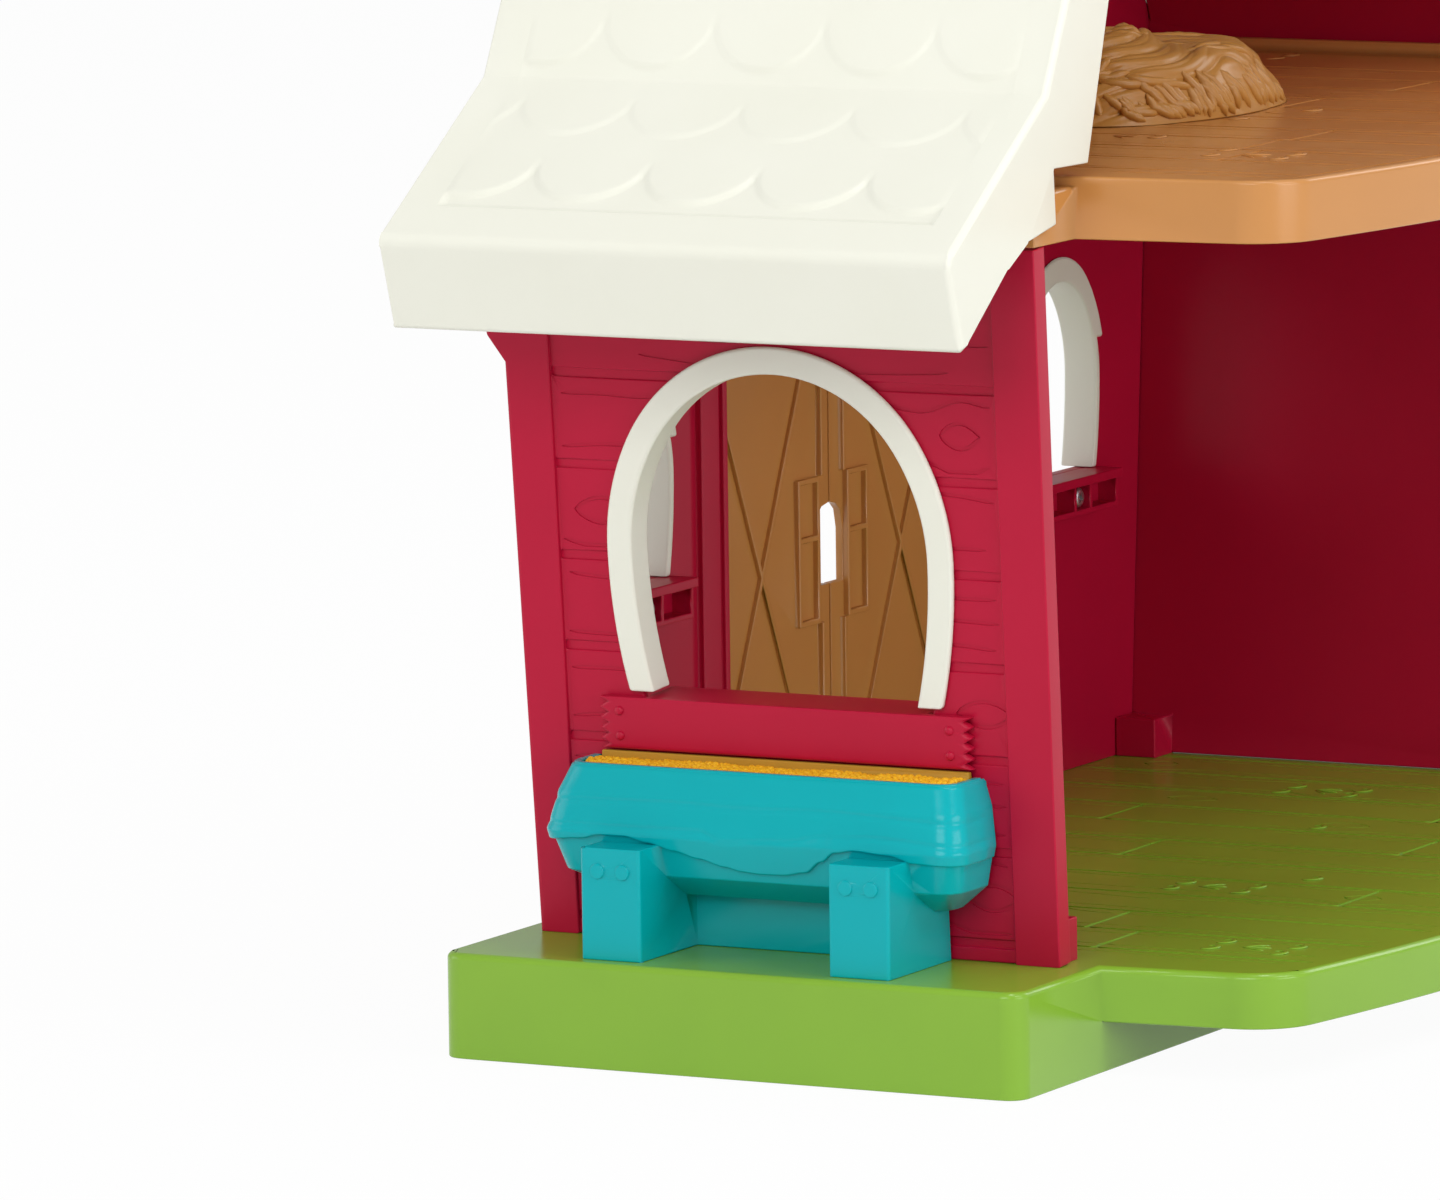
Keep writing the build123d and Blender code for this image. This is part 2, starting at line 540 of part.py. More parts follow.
def shingle_row(frame, low, high, odd):
    """One row of scalloped shingles on a slope: thick at the tips, thin at the top."""
    middle = SHINGLE_MIDDLE
    radius = SHINGLE_PITCH / 2
    shift = radius if odd else 0.0
    belly = low + radius
    centres = [k * SHINGLE_PITCH + shift for k in range(-3, 4)]
    edges = [Line((centres[0] - radius, belly), (centres[0] - radius, high))]
    edges.append(Line((centres[0] - radius, high), (centres[-1] + radius, high)))
    edges.append(Line((centres[-1] + radius, high), (centres[-1] + radius, belly)))
    for c in centres:
        angles = [pi + pi * k / SCALLOP_FACETS for k in range(SCALLOP_FACETS + 1)]
        points = [(c + radius * cos(a), belly + radius * sin(a)) for a in angles]
        edges += Polyline(*points).edges()
    sheet = extrude(frame * Pos(middle, 0) * make_face(edges), amount=2, both=True)
    side = Plane(origin=frame.origin, x_dir=frame.y_dir, z_dir=frame.x_dir)
    first = max(low, 0.0)
    tip_height = 0.2 - 0.7 * (first - low) / (high - low)
    wedge = make_face(
        Polyline(
            (first, -PANEL_SUNK - 0.4), (first, tip_height), (high, -0.5), (high, -PANEL_SUNK - 0.4), close=True
        )
    )
    return sheet & extrude(side.offset(2.6) * wedge, amount=114.0)


def slope_plane(low, high):
    """Plane on a roof slope: X along the barn's depth, Y up the slope, Z out of the roof."""
    run = hypot(high[0] - low[0], high[1] - low[1])
    up = ((high[0] - low[0]) / run, 0, (high[1] - low[1]) / run)
    return Plane(
        origin=(low[0], FRONT, FLOOR + low[1]), x_dir=(0, 1, 0), z_dir=(up[2], 0, -up[0])
    )


def off_outer_line(edge):
    """How far an edge's middle lies from the roof's outer line, seen along the barn."""
    middle = edge @ 0.5
    line = [EAVE_LOW, EAVE_TOP, BEND, KNEE, RIDGE]
    gaps = []
    for (ax, az), (bx, bz) in zip(line, line[1:]):
        dx, dz = middle.X - ax, middle.Z - FLOOR - az
        share = (dx * (bx - ax) + dz * (bz - az)) / ((bx - ax) ** 2 + (bz - az) ** 2)
        share = min(1, max(0, share))
        gaps.append(hypot(dx - share * (bx - ax), dz - share * (bz - az)))
    return min(gaps)


def make_roof_half():
    """Cream roof half: fascia, flared eave, steep and shallow slopes with shingled panels."""
    outer = [EAVE_LOW, EAVE_TOP, BEND, KNEE, RIDGE]
    corners = [(EAVE_TOP, EAVE_ROUND), (EAVE_LOW, EAVE_FOOT_ROUND)]
    roof = across(outer + list(reversed(roof_line(SKIN))), (ROOF_FRONT, ROOF_BACK), corners)
    upper_in = [(132.8, 165.0), (122.0, 198.5), (110.4, 219.6), (0.0, 278.4)]
    front_edge = [(170.0, 146.7), (160.7, 151.5), (146.0, 160.0)] + upper_in[1:]
    back_edge = [(170.0, 146.7), (160.7, 151.4), (148.1, 153.7), (149.0, 165.2)] + upper_in
    roof += across(outer + list(reversed(front_edge)), (ROOF_FRONT, ROOF_FRONT + RAKE), corners)
    roof += across(outer + list(reversed(back_edge)), (ROOF_BACK - RAKE, ROOF_BACK), corners)
    for end in (roof.faces().sort_by(Axis.Y)[0], roof.faces().sort_by(Axis.Y)[-1]):
        roof = chamfer([edge for edge in end.edges() if off_outer_line(edge) < 1.3], length=RAKE_BEVEL)
    slopes = [(EAVE_TOP, BEND, 11.0, 0.0), (BEND, KNEE, 0.0, 0.0), (KNEE, RIDGE, 0.0, 7.0)]
    bottom = -39.3                     # shingle tips are spaced from the bend, 39.3 mm up the eave
    travelled = -hypot(EAVE_TOP[0] - BEND[0], EAVE_TOP[1] - BEND[1])
    for low, high, margin_low, margin_high in slopes:
        frame = slope_plane(low, high)
        length = hypot(high[0] - low[0], high[1] - low[1])
        panel = Pos(59.6, (length + margin_low - margin_high) / 2) * Rectangle(
            114.0, length - margin_low - margin_high
        )
        roof -= extrude(frame * panel, amount=-PANEL_SUNK)
        for row in range(12):
            tip = bottom + row * SHINGLE_ROW - travelled
            top = min(tip + SHINGLE_ROW + SHINGLE_PITCH / 2, length - margin_high)
            if top > 1 and tip + SHINGLE_PITCH / 2 < length - margin_high:
                roof += shingle_row(frame, tip, top, row % 2 == 1)
        travelled += length
    for x, z in ROOF_LUGS:
        lug = block((x - 5, x + 5), (1.2, 3.2), (z - 5, z + 24))
        lug -= level_bore(0.9, x, (1.2, 3.2), z)
        roof += lug & across(roof_line(1.0) + [(0, 150)], (0, 5))
    return roof


def make_ridge_cap():
    """Strip over the joint of the two roof halves."""
    reach = 9.0
    drop = reach * (RIDGE[1] - KNEE[1]) / KNEE[0]
    top = RIDGE[1] + 2.2
    outline = [
        (-reach, RIDGE[1] - drop), (0, RIDGE[1]), (reach, RIDGE[1] - drop),
        (reach, top - drop - 0.4), (3.0, top - 1.0), (0, top - 0.2), (-3.0, top - 1.0),
        (-reach, top - drop - 0.4),
    ]
    return across(outline, (ROOF_FRONT, ROOF_BACK))


# ---------------------------------------------------------------- trough
TROUGH_TOP = 39.0
TROUGH_ENDS = (15.2, 105.0)          # depths of the rim's two ends
TROUGH_CORNER = 5.0                  # radius of the log's upright corners
CORNER_FACETS = 4
TROUGH_SECTIONS = [                  # reach in front of the wall, two ends, height
    (8.0, 21.0, 99.5, 11.4), (16.8, 13.6, 105.6, 16.5), (19.6, 11.4, 107.4, 25.0),
    (18.2, 12.8, 106.6, 33.0), (15.7, 15.2, 105.0, TROUGH_TOP),
]


def trough_ring(reach, low, high, height):
    """One level section of the trough: its reach in front of the wall and its two ends."""
    points = [(WALL_HALF - 4, high), (WALL_HALF - 4, low)]
    for end, turn in ((low + TROUGH_CORNER, -1), (high - TROUGH_CORNER, 1)):
        for k in range(CORNER_FACETS + 1):
            step = k if turn < 0 else CORNER_FACETS - k
            a = pi / 2 * (1 - step / CORNER_FACETS)
            x = WALL_HALF + reach - TROUGH_CORNER * (1 - cos(a))
            points.append((x, end + turn * TROUGH_CORNER * sin(a)))
    ring = make_face(Polyline(*[(x, FRONT + y) for x, y in points], close=True))
    return Plane.XY.offset(FLOOR + height) * ring


def make_trough():
    """Half-log trough: bulging front and ends, two legs, a low back panel between them."""
    x0 = WALL_HALF
    rings = [trough_ring(*section) for section in TROUGH_SECTIONS]
    log = loft(rings, ruled=True)
    for depth in TROUGH_LEGS:
        leg = block((x0 - 4, x0 + 28.4), (depth - 6.95, depth + 6.95), (0, 23.4))
        log += fillet(leg.edges().filter_by(Axis.Z), radius=0.8)
        for peg in (-2.9, 2.9):
            stud = Pos(x0 + 28.4, FRONT + depth + peg, FLOOR + 18.6) * Rot(0, 90, 0)
            log += extrude(stud * RegularPolygon(1.65, 12), amount=0.5)
    log += block((x0 - 4, x0 + 3.2), (TROUGH_LEGS[0], TROUGH_LEGS[1]), (0, 16))
    log -= trough_hollow(0.0)
    for x, y in TROUGH_SCREWS:
        log -= screw_post(1.3, x, y, (0, 9))
    behind = END_WALL * Pos(60, 30) * Rectangle(200, 100)
    return log - extrude(behind, amount=-14) - extrude(
        END_WALL.offset(-POST_PROUD + 0.02) * Pos(60, 30) * Rectangle(200, 100), amount=-14
    )


def trough_hollow(lift):
    """The space in the trough's top, which the feed bed fills."""
    low, high = TROUGH_ENDS
    ends = [(WALL_HALF - 6, low + 1.5), (WALL_HALF + 14.2, low + 1.5)]
    ends += [(x, high - 1.5) for x, y in reversed(ends)]
    plan = make_face(Polyline(*[(x, FRONT + y) for x, y in ends], close=True))
    plan = fillet(plan.vertices().sort_by(Axis.X)[-2:], radius=3.6)
    return extrude(Plane.XY.offset(FLOOR + 28.0) * plan, amount=11.0 + lift)


def make_trough_feed():
    """Yellow feed bed that drops into the trough, with a low upstand along the wall."""
    bed = trough_hollow(-1.6)
    upstand = along([(17.4, 37), (102.9, 37), (102.9, 40.1), (17.4, 40.1)], (WALL_HALF, WALL_HALF + 4.4))
    bed += upstand
    behind = END_WALL.offset(-POST_PROUD + 0.02) * Pos(60, 30) * Rectangle(200, 100)
    return bed - extrude(behind, amount=-14) - extrude(
        END_WALL * Pos(60, 30) * Rectangle(200, 100), amount=-14
    )


# ---------------------------------------------------------------- screws
HEAD_SIDES = 8                       # facets round a screw head


def pan_screw(shank, length, head, head_height):
    """A pan-head screw pointing up from its head's underside at the origin."""
    body = extrude(RegularPolygon(shank, BORE_SIDES), amount=length)
    return body + extrude(RegularPolygon(head, HEAD_SIDES), amount=-head_height)


def place_upright(screw, places, height):
    return [Pos(x, FRONT + y, FLOOR + height) * screw for x, y in places]


def make_base_screws():
    screw = pan_screw(1.1, 26.0, 2.6, 1.6)
    return Compound(place_upright(screw, CORNER_SCREWS + DOOR_POST_SCREWS, SCREW_SEAT))


def make_trough_screws():
    return Compound(place_upright(pan_screw(1.1, 26.0, 2.6, 1.6), TROUGH_SCREWS, SCREW_SEAT))


def make_loft_screws():
    places = [(s * LOFT_SCREW_X, y) for s in (-1, 1) for y in LOFT_SCREW_DEPTHS]
    return Compound(place_upright(pan_screw(0.9, 12.6, 2.2, 1.4), places, 144.4))


def make_ledge_screws():
    """One screw in each sill box, driven outwards into the front board."""
    seat = FRONT + FRONT_FACE + FRONT_SKIN + 1.4
    screw = Rot(90, 0, 0) * pan_screw(1.1, 5.2, 2.4, 1.8)
    return Compound([Pos(x, seat, FLOOR + LEDGE_SCREW_Z) * screw for x in (-WINDOW_X, WINDOW_X)])


def make_roof_screws():
    """Short screws through the roof's lugs into the gable."""
    screw = Rot(90, 0, 0) * pan_screw(0.9, 3.2, 2.0, 1.3)
    places = [(s * x, z) for s in (-1, 1) for x, z in ROOF_LUGS]
    return Compound([Pos(x, FRONT + 3.2, FLOOR + z) * screw for x, z in places])


# ---------------------------------------------------------------- export
def build():
    roof = make_roof_half()
    door = make_right_door()
    return {
        "base": make_base(),
        "front_wall": make_front_wall(),
        "window_end_wall": make_end_wall(window=True),
        "plain_end_wall": mirror(make_end_wall(window=False), about=Plane.YZ),
        "end_window_frame": make_end_window_frame(),
        "end_sill_board": make_end_sill_board(),
        "front_window_frame_left": make_front_window_frame(-WINDOW_X),
        "front_window_frame_right": make_front_window_frame(WINDOW_X),
        "front_board_left": make_front_board(-WINDOW_X),
        "front_board_right": make_front_board(WINDOW_X),
        "front_sill_box_left": make_front_sill_box(-WINDOW_X),
        "front_sill_box_right": make_front_sill_box(WINDOW_X),
        "left_door": mirror(door, about=Plane.YZ),
        "right_door": door,
        "left_hinge_pins": make_hinge_pins(-1),
        "right_hinge_pins": make_hinge_pins(1),
        "loft_deck": make_loft_deck(),
        "hay_mound": make_hay_mound(),
        "roof_window_side": roof,
        "roof_plain_side": mirror(roof, about=Plane.YZ),
        "ridge_cap": make_ridge_cap(),
        "trough": make_trough(),
        "trough_feed": make_trough_feed(),
        "base_screws": make_base_screws(),
        "trough_screws": make_trough_screws(),
        "loft_screws": make_loft_screws(),
        "ledge_screws": make_ledge_screws(),
        "roof_screws": make_roof_screws(),
    }


os.makedirs("parts", exist_ok=True)
for name, shape in build().items():
    export_step(shape, f"parts/{name}.step")
    print(f"{name:26s} {shape.volume:10.1f} mm3")
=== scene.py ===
# %% [markdown]
# # A toy barn with opening doors, dressed for the camera
#
# The barn's true shape comes from a CAD model. This lesson loads that model as a fixed frame
# and then dresses it: soft moulded edges, plastics that look moulded, hay, feed, wood grain and
# hoof prints. Every length is a real one. The CAD model was drawn in millimetres, so most numbers
# here are millimetres too, and MM turns them into metres.

# %% Load the imported frame
import math
import random
from mathutils import Matrix, Vector, geometry, noise
from mathutils.bvhtree import BVHTree
import bmesh
import bpy


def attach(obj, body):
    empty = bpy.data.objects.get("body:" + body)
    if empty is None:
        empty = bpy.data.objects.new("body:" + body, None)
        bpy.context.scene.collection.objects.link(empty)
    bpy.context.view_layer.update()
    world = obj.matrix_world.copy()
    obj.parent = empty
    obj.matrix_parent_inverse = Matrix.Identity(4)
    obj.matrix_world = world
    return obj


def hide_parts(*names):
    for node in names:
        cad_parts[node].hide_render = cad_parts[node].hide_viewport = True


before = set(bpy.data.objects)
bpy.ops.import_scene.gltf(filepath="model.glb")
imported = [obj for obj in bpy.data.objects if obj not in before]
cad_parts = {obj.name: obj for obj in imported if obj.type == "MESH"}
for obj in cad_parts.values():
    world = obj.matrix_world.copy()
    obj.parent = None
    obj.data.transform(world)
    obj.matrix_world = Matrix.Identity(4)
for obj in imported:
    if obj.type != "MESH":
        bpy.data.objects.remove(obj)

MM = 0.001
FRONT = -87.0              # Y of the end walls' front corner, from which a depth is measured
FLOOR = 22.2               # Z of the play floor, from which a height is measured
DECK = 162.4               # height of the loft deck's top
WALL = 143.1               # X of an end wall's outside at the floor
LEAN = math.radians(4.2)   # the end walls lean outwards
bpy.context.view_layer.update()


def spot(x, depth, height):
    """A point in metres from X, depth and height in millimetres."""
    return Vector((x, FRONT + depth, FLOOR + height)) * MM


def in_scene(name, data):
    """A new object in the scene."""
    thing = bpy.data.objects.new(name, data)
    bpy.context.scene.collection.objects.link(thing)
    return thing


# %% [markdown]
# ## The camera
#
# The photograph was taken with a long lens from well back: its vanishing points lie far outside
# the picture. The lens and the place were solved from those points, so the camera only has to be
# put there. It is turned about Z first, then tipped down, then rolled by under one degree.

# %% Camera
CAMERA_PLACE = Vector((2247.7, 1068.1, 410.65)) * MM
CAMERA_AZIMUTH, CAMERA_TILT, CAMERA_ROLL = 117.843, 7.566, -0.749

lens = bpy.data.cameras.new("photo_camera")
lens.sensor_width = 36.0                  # mm
lens.lens = 289.37                        # mm
lens.clip_end = 30.0                      # metres
camera = in_scene("photo_camera", lens)
turn = Matrix.Rotation(math.radians(CAMERA_AZIMUTH), 4, "Z")
tip = Matrix.Rotation(math.radians(90 - CAMERA_TILT), 4, "X")
roll = Matrix.Rotation(math.radians(CAMERA_ROLL), 4, "Z")
camera.matrix_world = Matrix.Translation(CAMERA_PLACE) @ turn @ tip @ roll
bpy.context.scene.camera = camera
print("camera at", [round(v, 3) for v in camera.location], "lens", lens.lens)

# %% [markdown]
# ## Two small helpers for materials
#
# Colours are written as the sRGB hex values that one reads off a picture, and one function turns
# them to the linear values that a shader works in. Another adds any node: an input that is given
# a socket is linked, and any other value is set. A third empties the tree that a new material or
# world starts with.

# %% Material helpers
def linear(hex_colour):
    """A hex colour through the sRGB curve, as red, green, blue and alpha."""
    channels = [int(hex_colour[i:i + 2], 16) / 255 for i in (1, 3, 5)]
    bent = [c / 12.92 if c <= 0.04045 else ((c + 0.055) / 1.055) ** 2.4 for c in channels]
    return (*bent, 1.0)


def add(tree, kind, inputs=None, **settings):
    """A node with its settings and inputs."""
    node = tree.nodes.new(kind)
    for name, value in settings.items():
        setattr(node, name, value)
    for name, value in (inputs or {}).items():
        if isinstance(value, bpy.types.NodeSocket):
            tree.links.new(value, node.inputs[name])
        else:
            node.inputs[name].default_value = value
    return node


def emptied(owner):
    """The node tree of a material or world, with no nodes in it."""
    owner.use_nodes = True
    owner.node_tree.nodes.clear()
    return owner.node_tree


CRIMSON = "#BA1138"
print("crimson is linear", [round(c, 3) for c in linear(CRIMSON)])

# %% [markdown]
# ## Moulded plastic
#
# The barn is injection-moulded, mostly ABS with a softer polypropylene roof. A mould is
# spark-eroded, so its parts carry a very fine even texture, they shrink a little unevenly where
# ribs sit behind a wall, and their colour drifts slightly with the flow of the melt. Three noises
# give those: a broad one for the tone, a middle one for the sink marks and the roughness, and a
# fine one for the texture. Texture this fine, about 0.1 mm, would vanish at this distance, so it
# is drawn at about 0.6 mm. The roughness drifts only a little, because the eye reads a larger
# drift as wet spots.

# %% Moulded plastic material
TEXTURE_MM, TEXTURE_HIGH_MM = 0.6, 0.05    # how far apart the texture's grains are, and how high
SINK_MM, SINK_DEEP_MM = 16.0, 0.08         # how far apart the sink marks are, and how deep
FLOW_MM = 30.0                             # how far the colour takes to drift
DRIFT = 0.03                               # how far the roughness drifts to each side
NOISE_REACH = 1.5                          # the sink noise stays within this of zero
PLASTIC_IOR = 1.53


def moulded_plastic(name, colour, deep_colour, gloss, texture=0.12, sink=0.2, shine=0.28):
    """ABS or PP from its two tones, its roughness, and the strength of texture and sink marks."""
    material = bpy.data.materials.new(name)
    tree = emptied(material)
    place = add(tree, "ShaderNodeTexCoord").outputs["Object"]
    flow = add(tree, "ShaderNodeTexNoise",
               {"Vector": place, "Scale": 1 / (FLOW_MM * MM), "Detail": 2.0})
    tone = add(tree, "ShaderNodeMix",
               {"Factor": flow.outputs["Fac"], "A": linear(deep_colour), "B": linear(colour)},
               data_type="RGBA")
    shrink = add(tree, "ShaderNodeTexNoise",
                 {"Vector": place, "Scale": 1 / (SINK_MM * MM), "Detail": 1.0}, normalize=False)
    rough = add(tree, "ShaderNodeMapRange",
                {"Value": shrink.outputs["Fac"], "From Min": -NOISE_REACH, "From Max": NOISE_REACH,
                 "To Min": gloss - DRIFT, "To Max": gloss + DRIFT}, clamp=False)
    dips = add(tree, "ShaderNodeBump", {"Height": shrink.outputs["Fac"], "Strength": sink,
                                        "Distance": SINK_DEEP_MM * MM})
    grit = add(tree, "ShaderNodeTexNoise",
               {"Vector": place, "Scale": 1 / (TEXTURE_MM * MM), "Detail": 1.0})
    skin = add(tree, "ShaderNodeBump",
               {"Height": grit.outputs["Fac"], "Strength": texture,
                "Distance": TEXTURE_HIGH_MM * MM, "Normal": dips.outputs["Normal"]})
    shader = add(tree, "ShaderNodeBsdfPrincipled",
                 {"Base Color": tone.outputs["Result"], "Roughness": rough.outputs["Result"],
                  "IOR": PLASTIC_IOR, "Specular IOR Level": shine,
                  "Normal": skin.outputs["Normal"]})
    add(tree, "ShaderNodeOutputMaterial", {"Surface": shader.outputs["BSDF"]})
    return material


# %% [markdown]
# ## The finishes
#
# Each finish is named for the real material and its colour, except the feed bed's, which is the
# yellow feed painted darker: painted shade where the bed lies under the sill. The green base, the
# tan loft and the teal trough are the glossiest ABS. The crimson walls, the cream polypropylene
# roof and the hay are a little duller, and the feed is matte. A low shine keeps a deep colour from
# looking milky.

# %% Finishes
crimson_abs = moulded_plastic("satin_crimson_abs", CRIMSON, "#B20E33", 0.33, shine=0.2)
cream_pp = moulded_plastic("satin_cream_polypropylene", "#EAEADE", "#E6E6D8", 0.32, sink=0.1)
green_abs = moulded_plastic("satin_green_abs", "#86B432", "#7FAC30", 0.23, shine=0.4)
tan_abs = moulded_plastic("satin_tan_abs", "#C88A4A", "#C08344", 0.23, shine=0.5)
teal_abs = moulded_plastic("satin_teal_abs", "#00AEB6", "#00A6AE", 0.23, shine=0.22)
# The feed bed is the yellow feed painted darker: painted shade where the bed lies under the sill.
shade_painted_feed = moulded_plastic("matte_feed_pvc_painted_shade", "#C3952C", "#B08226", 0.5)
yellow_feed = moulded_plastic("matte_yellow_feed_pvc", "#F5BF22", "#E8AE1C", 0.5)
hay_abs = moulded_plastic("matte_hay_abs", "#C28842", "#AA7634", 0.34, shine=0.35)
print("finishes:", [m.name for m in bpy.data.materials])

# %% [markdown]
# ## Zinc-plated steel
#
# The screws and hinge pins are plain steel with a bright zinc plating. It is a metal with a fine
# haze left by tumbling in the plating drum, which a small noise gives to its roughness.

# %% Steel
HAZE_MM = 1 / 1.5                          # how far apart the plating's hazy spots are


def zinc_plated_steel():
    material = bpy.data.materials.new("zinc_plated_steel")
    tree = emptied(material)
    place = add(tree, "ShaderNodeTexCoord").outputs["Object"]
    haze = add(tree, "ShaderNodeTexNoise",
               {"Vector": place, "Scale": 1 / (HAZE_MM * MM), "Detail": 2.0})
    rough = add(tree, "ShaderNodeMapRange",
                {"Value": haze.outputs["Fac"], "To Min": 0.3, "To Max": 0.5})
    shader = add(tree, "ShaderNodeBsdfPrincipled",
                 {"Base Color": linear("#D2D4D6"), "Roughness": rough.outputs["Result"],
                  "Metallic": 1.0})
    add(tree, "ShaderNodeOutputMaterial", {"Surface": shader.outputs["BSDF"]})
    return material


steel = zinc_plated_steel()
print("steel is", steel.name)

# %% [markdown]
# ## From a mesh to a finished piece
#
# Every piece here ends the same way. Its mesh gets one material and smooth faces, and a Weighted
# Normal modifier leans the shading towards the large faces, so a flat wall stays flat right up to
# its rounded edge.

# %% Finishing helpers
def as_object(name, data, material):
    """An object in the scene with one material."""
    data.materials.clear()
    data.materials.append(material)
    return in_scene(name, data)


def written(mesh, data):
    """Write a bmesh with smooth faces into mesh data, and free the bmesh."""
    for face in mesh.faces:
        face.smooth = True
    mesh.to_mesh(data)
    mesh.free()
    return data


def mesh_data(name, mesh):
    return written(mesh, bpy.data.meshes.new(name))


def finished(piece, body="barn", node=None):
    shading = piece.modifiers.new("even_shading", "WEIGHTED_NORMAL")
    shading.keep_sharp = True
    if node:
        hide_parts(node)
    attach(piece, body)


def evaluated(piece, name):
    """The piece's mesh as its modifiers leave it."""
    graph = bpy.context.evaluated_depsgraph_get()
    data = bpy.data.meshes.new_from_object(piece.evaluated_get(graph))
    data.name = name
    return data


# %% [markdown]
# ## Soft edges
#
# No moulded part has a sharp edge: the mould cutter leaves a small radius everywhere. Each CAD
# node is copied, its loose triangles are merged, and every outside edge is given a bevel weight.
# Inside corners stay crisp, so the floor of a recess keeps a flat shading.
# The rims that a child's hand meets are rounder than the rest, so they are listed by their place.

# %% Rounded copies of the CAD nodes
BEVEL_FROM = math.radians(28)      # edges that turn less than this belong to a curved surface
WIDEST = 1.2                       # mm, the bevel that a weight of 1 gives
BEVEL_SEGMENTS = 3
SAME_POINT = 2e-6                  # metres, under which two corners are one


def cad_copy(node):
    """A CAD node as a bmesh, with its loose triangles merged."""
    mesh = bmesh.new()
    mesh.from_mesh(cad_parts[node].data)
    bmesh.ops.remove_doubles(mesh, verts=mesh.verts, dist=SAME_POINT)
    return mesh


def rounded_copy(node, name, edge_mm, rims=(), mesh=None, shortest=0.0):
    """A copy of a node with rounded outside edges.

    rims lists (axis, low, high, mm), with low and high in metres. Edges under shortest mm stay.
    """
    mesh = mesh or cad_copy(node)
    layer = mesh.edges.layers.float.new("bevel_weight_edge")
    for edge in mesh.edges:
        angle = edge.calc_face_angle_signed(0) if len(edge.link_faces) == 2 else 0
        if angle < -BEVEL_FROM:
            edge.smooth = False
        if angle < BEVEL_FROM or edge.calc_length() < shortest * MM:
            continue
        size = edge_mm
        middle = (edge.verts[0].co + edge.verts[1].co) / 2
        for axis, low, high, wide in rims:
            if low <= middle["XYZ".index(axis)] <= high:
                size = wide
        edge[layer] = size / WIDEST
    data = mesh_data(name + "_sharp", mesh)
    blank = as_object(name + "_blank", data, crimson_abs)
    bevel = blank.modifiers.new("mould_radius", "BEVEL")
    bevel.width = WIDEST * MM
    bevel.segments = BEVEL_SEGMENTS
    bevel.limit_method = "WEIGHT"
    bevel.use_clamp_overlap = False
    result = evaluated(blank, name)
    bpy.data.objects.remove(blank)
    bpy.data.meshes.remove(data)
    return result


# %% [markdown]
# ## Engraving
#
# The plank lines and the wood grain are real channels, cut into the mould's flat faces. To engrave
# a flat area, its faces are taken out and laid flat in 2-D. A constrained Delaunay triangulation
# then fills the same outline with the channels' outlines drawn in, the triangles inside a channel
# are sunk, and a wall is built down to them. The rest of the mesh isn't touched.

# %% Engrave a flat area
SAME_WAY = 0.9999                  # cosine, over which a face looks the engraved area's way
SAME_LEVEL = 1e-5                  # metres, under which it lies at the area's level
CDT_EPSILON = 1e-4                 # mm, under which the triangulation merges points


def flat_area(mesh, origin, out):
    """The faces that lie in the plane through the origin and look outwards."""
    return [face for face in mesh.faces if face.normal.dot(out) > SAME_WAY
            and abs((face.verts[0].co - origin).dot(out)) < SAME_LEVEL]


def counter_clockwise(outline):
    area = sum(a[0] * b[1] - b[0] * a[1] for a, b in zip(outline, outline[1:] + outline[:1]))
    return outline if area > 0 else outline[::-1]


def fill_flat(mesh, flat, to_flat, channels):
    """Triangles over the flat faces' outline: 2-D points, triangles, and which are channels."""
    chosen = set(flat)
    rim = [edge for face in flat for edge in face.edges
           if sum(other in chosen for other in edge.link_faces) == 1]
    corners = list({vert for edge in rim for vert in edge.verts})
    index = {vert: i for i, vert in enumerate(corners)}
    points = [to_flat(vert.co) for vert in corners]
    edges = [(index[edge.verts[0]], index[edge.verts[1]]) for edge in rim]
    outlines = []
    for outline in channels:
        start = len(points)
        points += [Vector(point) for point in counter_clockwise(outline)]
        outlines.append(list(range(start, len(points))))
    old = [vert for face in flat for vert in face.verts]
    cover = BVHTree.FromPolygons(
        [to_flat(vert.co).to_3d() for vert in old],
        [list(range(start, start + len(face.verts))) for start, face in numbered(flat)])
    flat_points, _, faces, sources, _, owners = geometry.delaunay_2d_cdt(
        points, edges, outlines, 0, CDT_EPSILON)
    kept = []
    for face, owner in zip(faces, owners):
        middle = sum((flat_points[i] for i in face), Vector((0, 0))) / len(face)
        if cover.ray_cast(middle.to_3d() + Vector((0, 0, 5)), Vector((0, 0, -1)))[0]:
            kept.append((list(face), bool(owner)))
    reused = {i: corners[source[0]] for i, source in enumerate(sources)
              if source and source[0] < len(corners)}
    return flat_points, kept, reused


def numbered(faces):
    """Each face with the number of corners that come before it."""
    start = 0
    for face in faces:
        yield start, face
        start += len(face.verts)


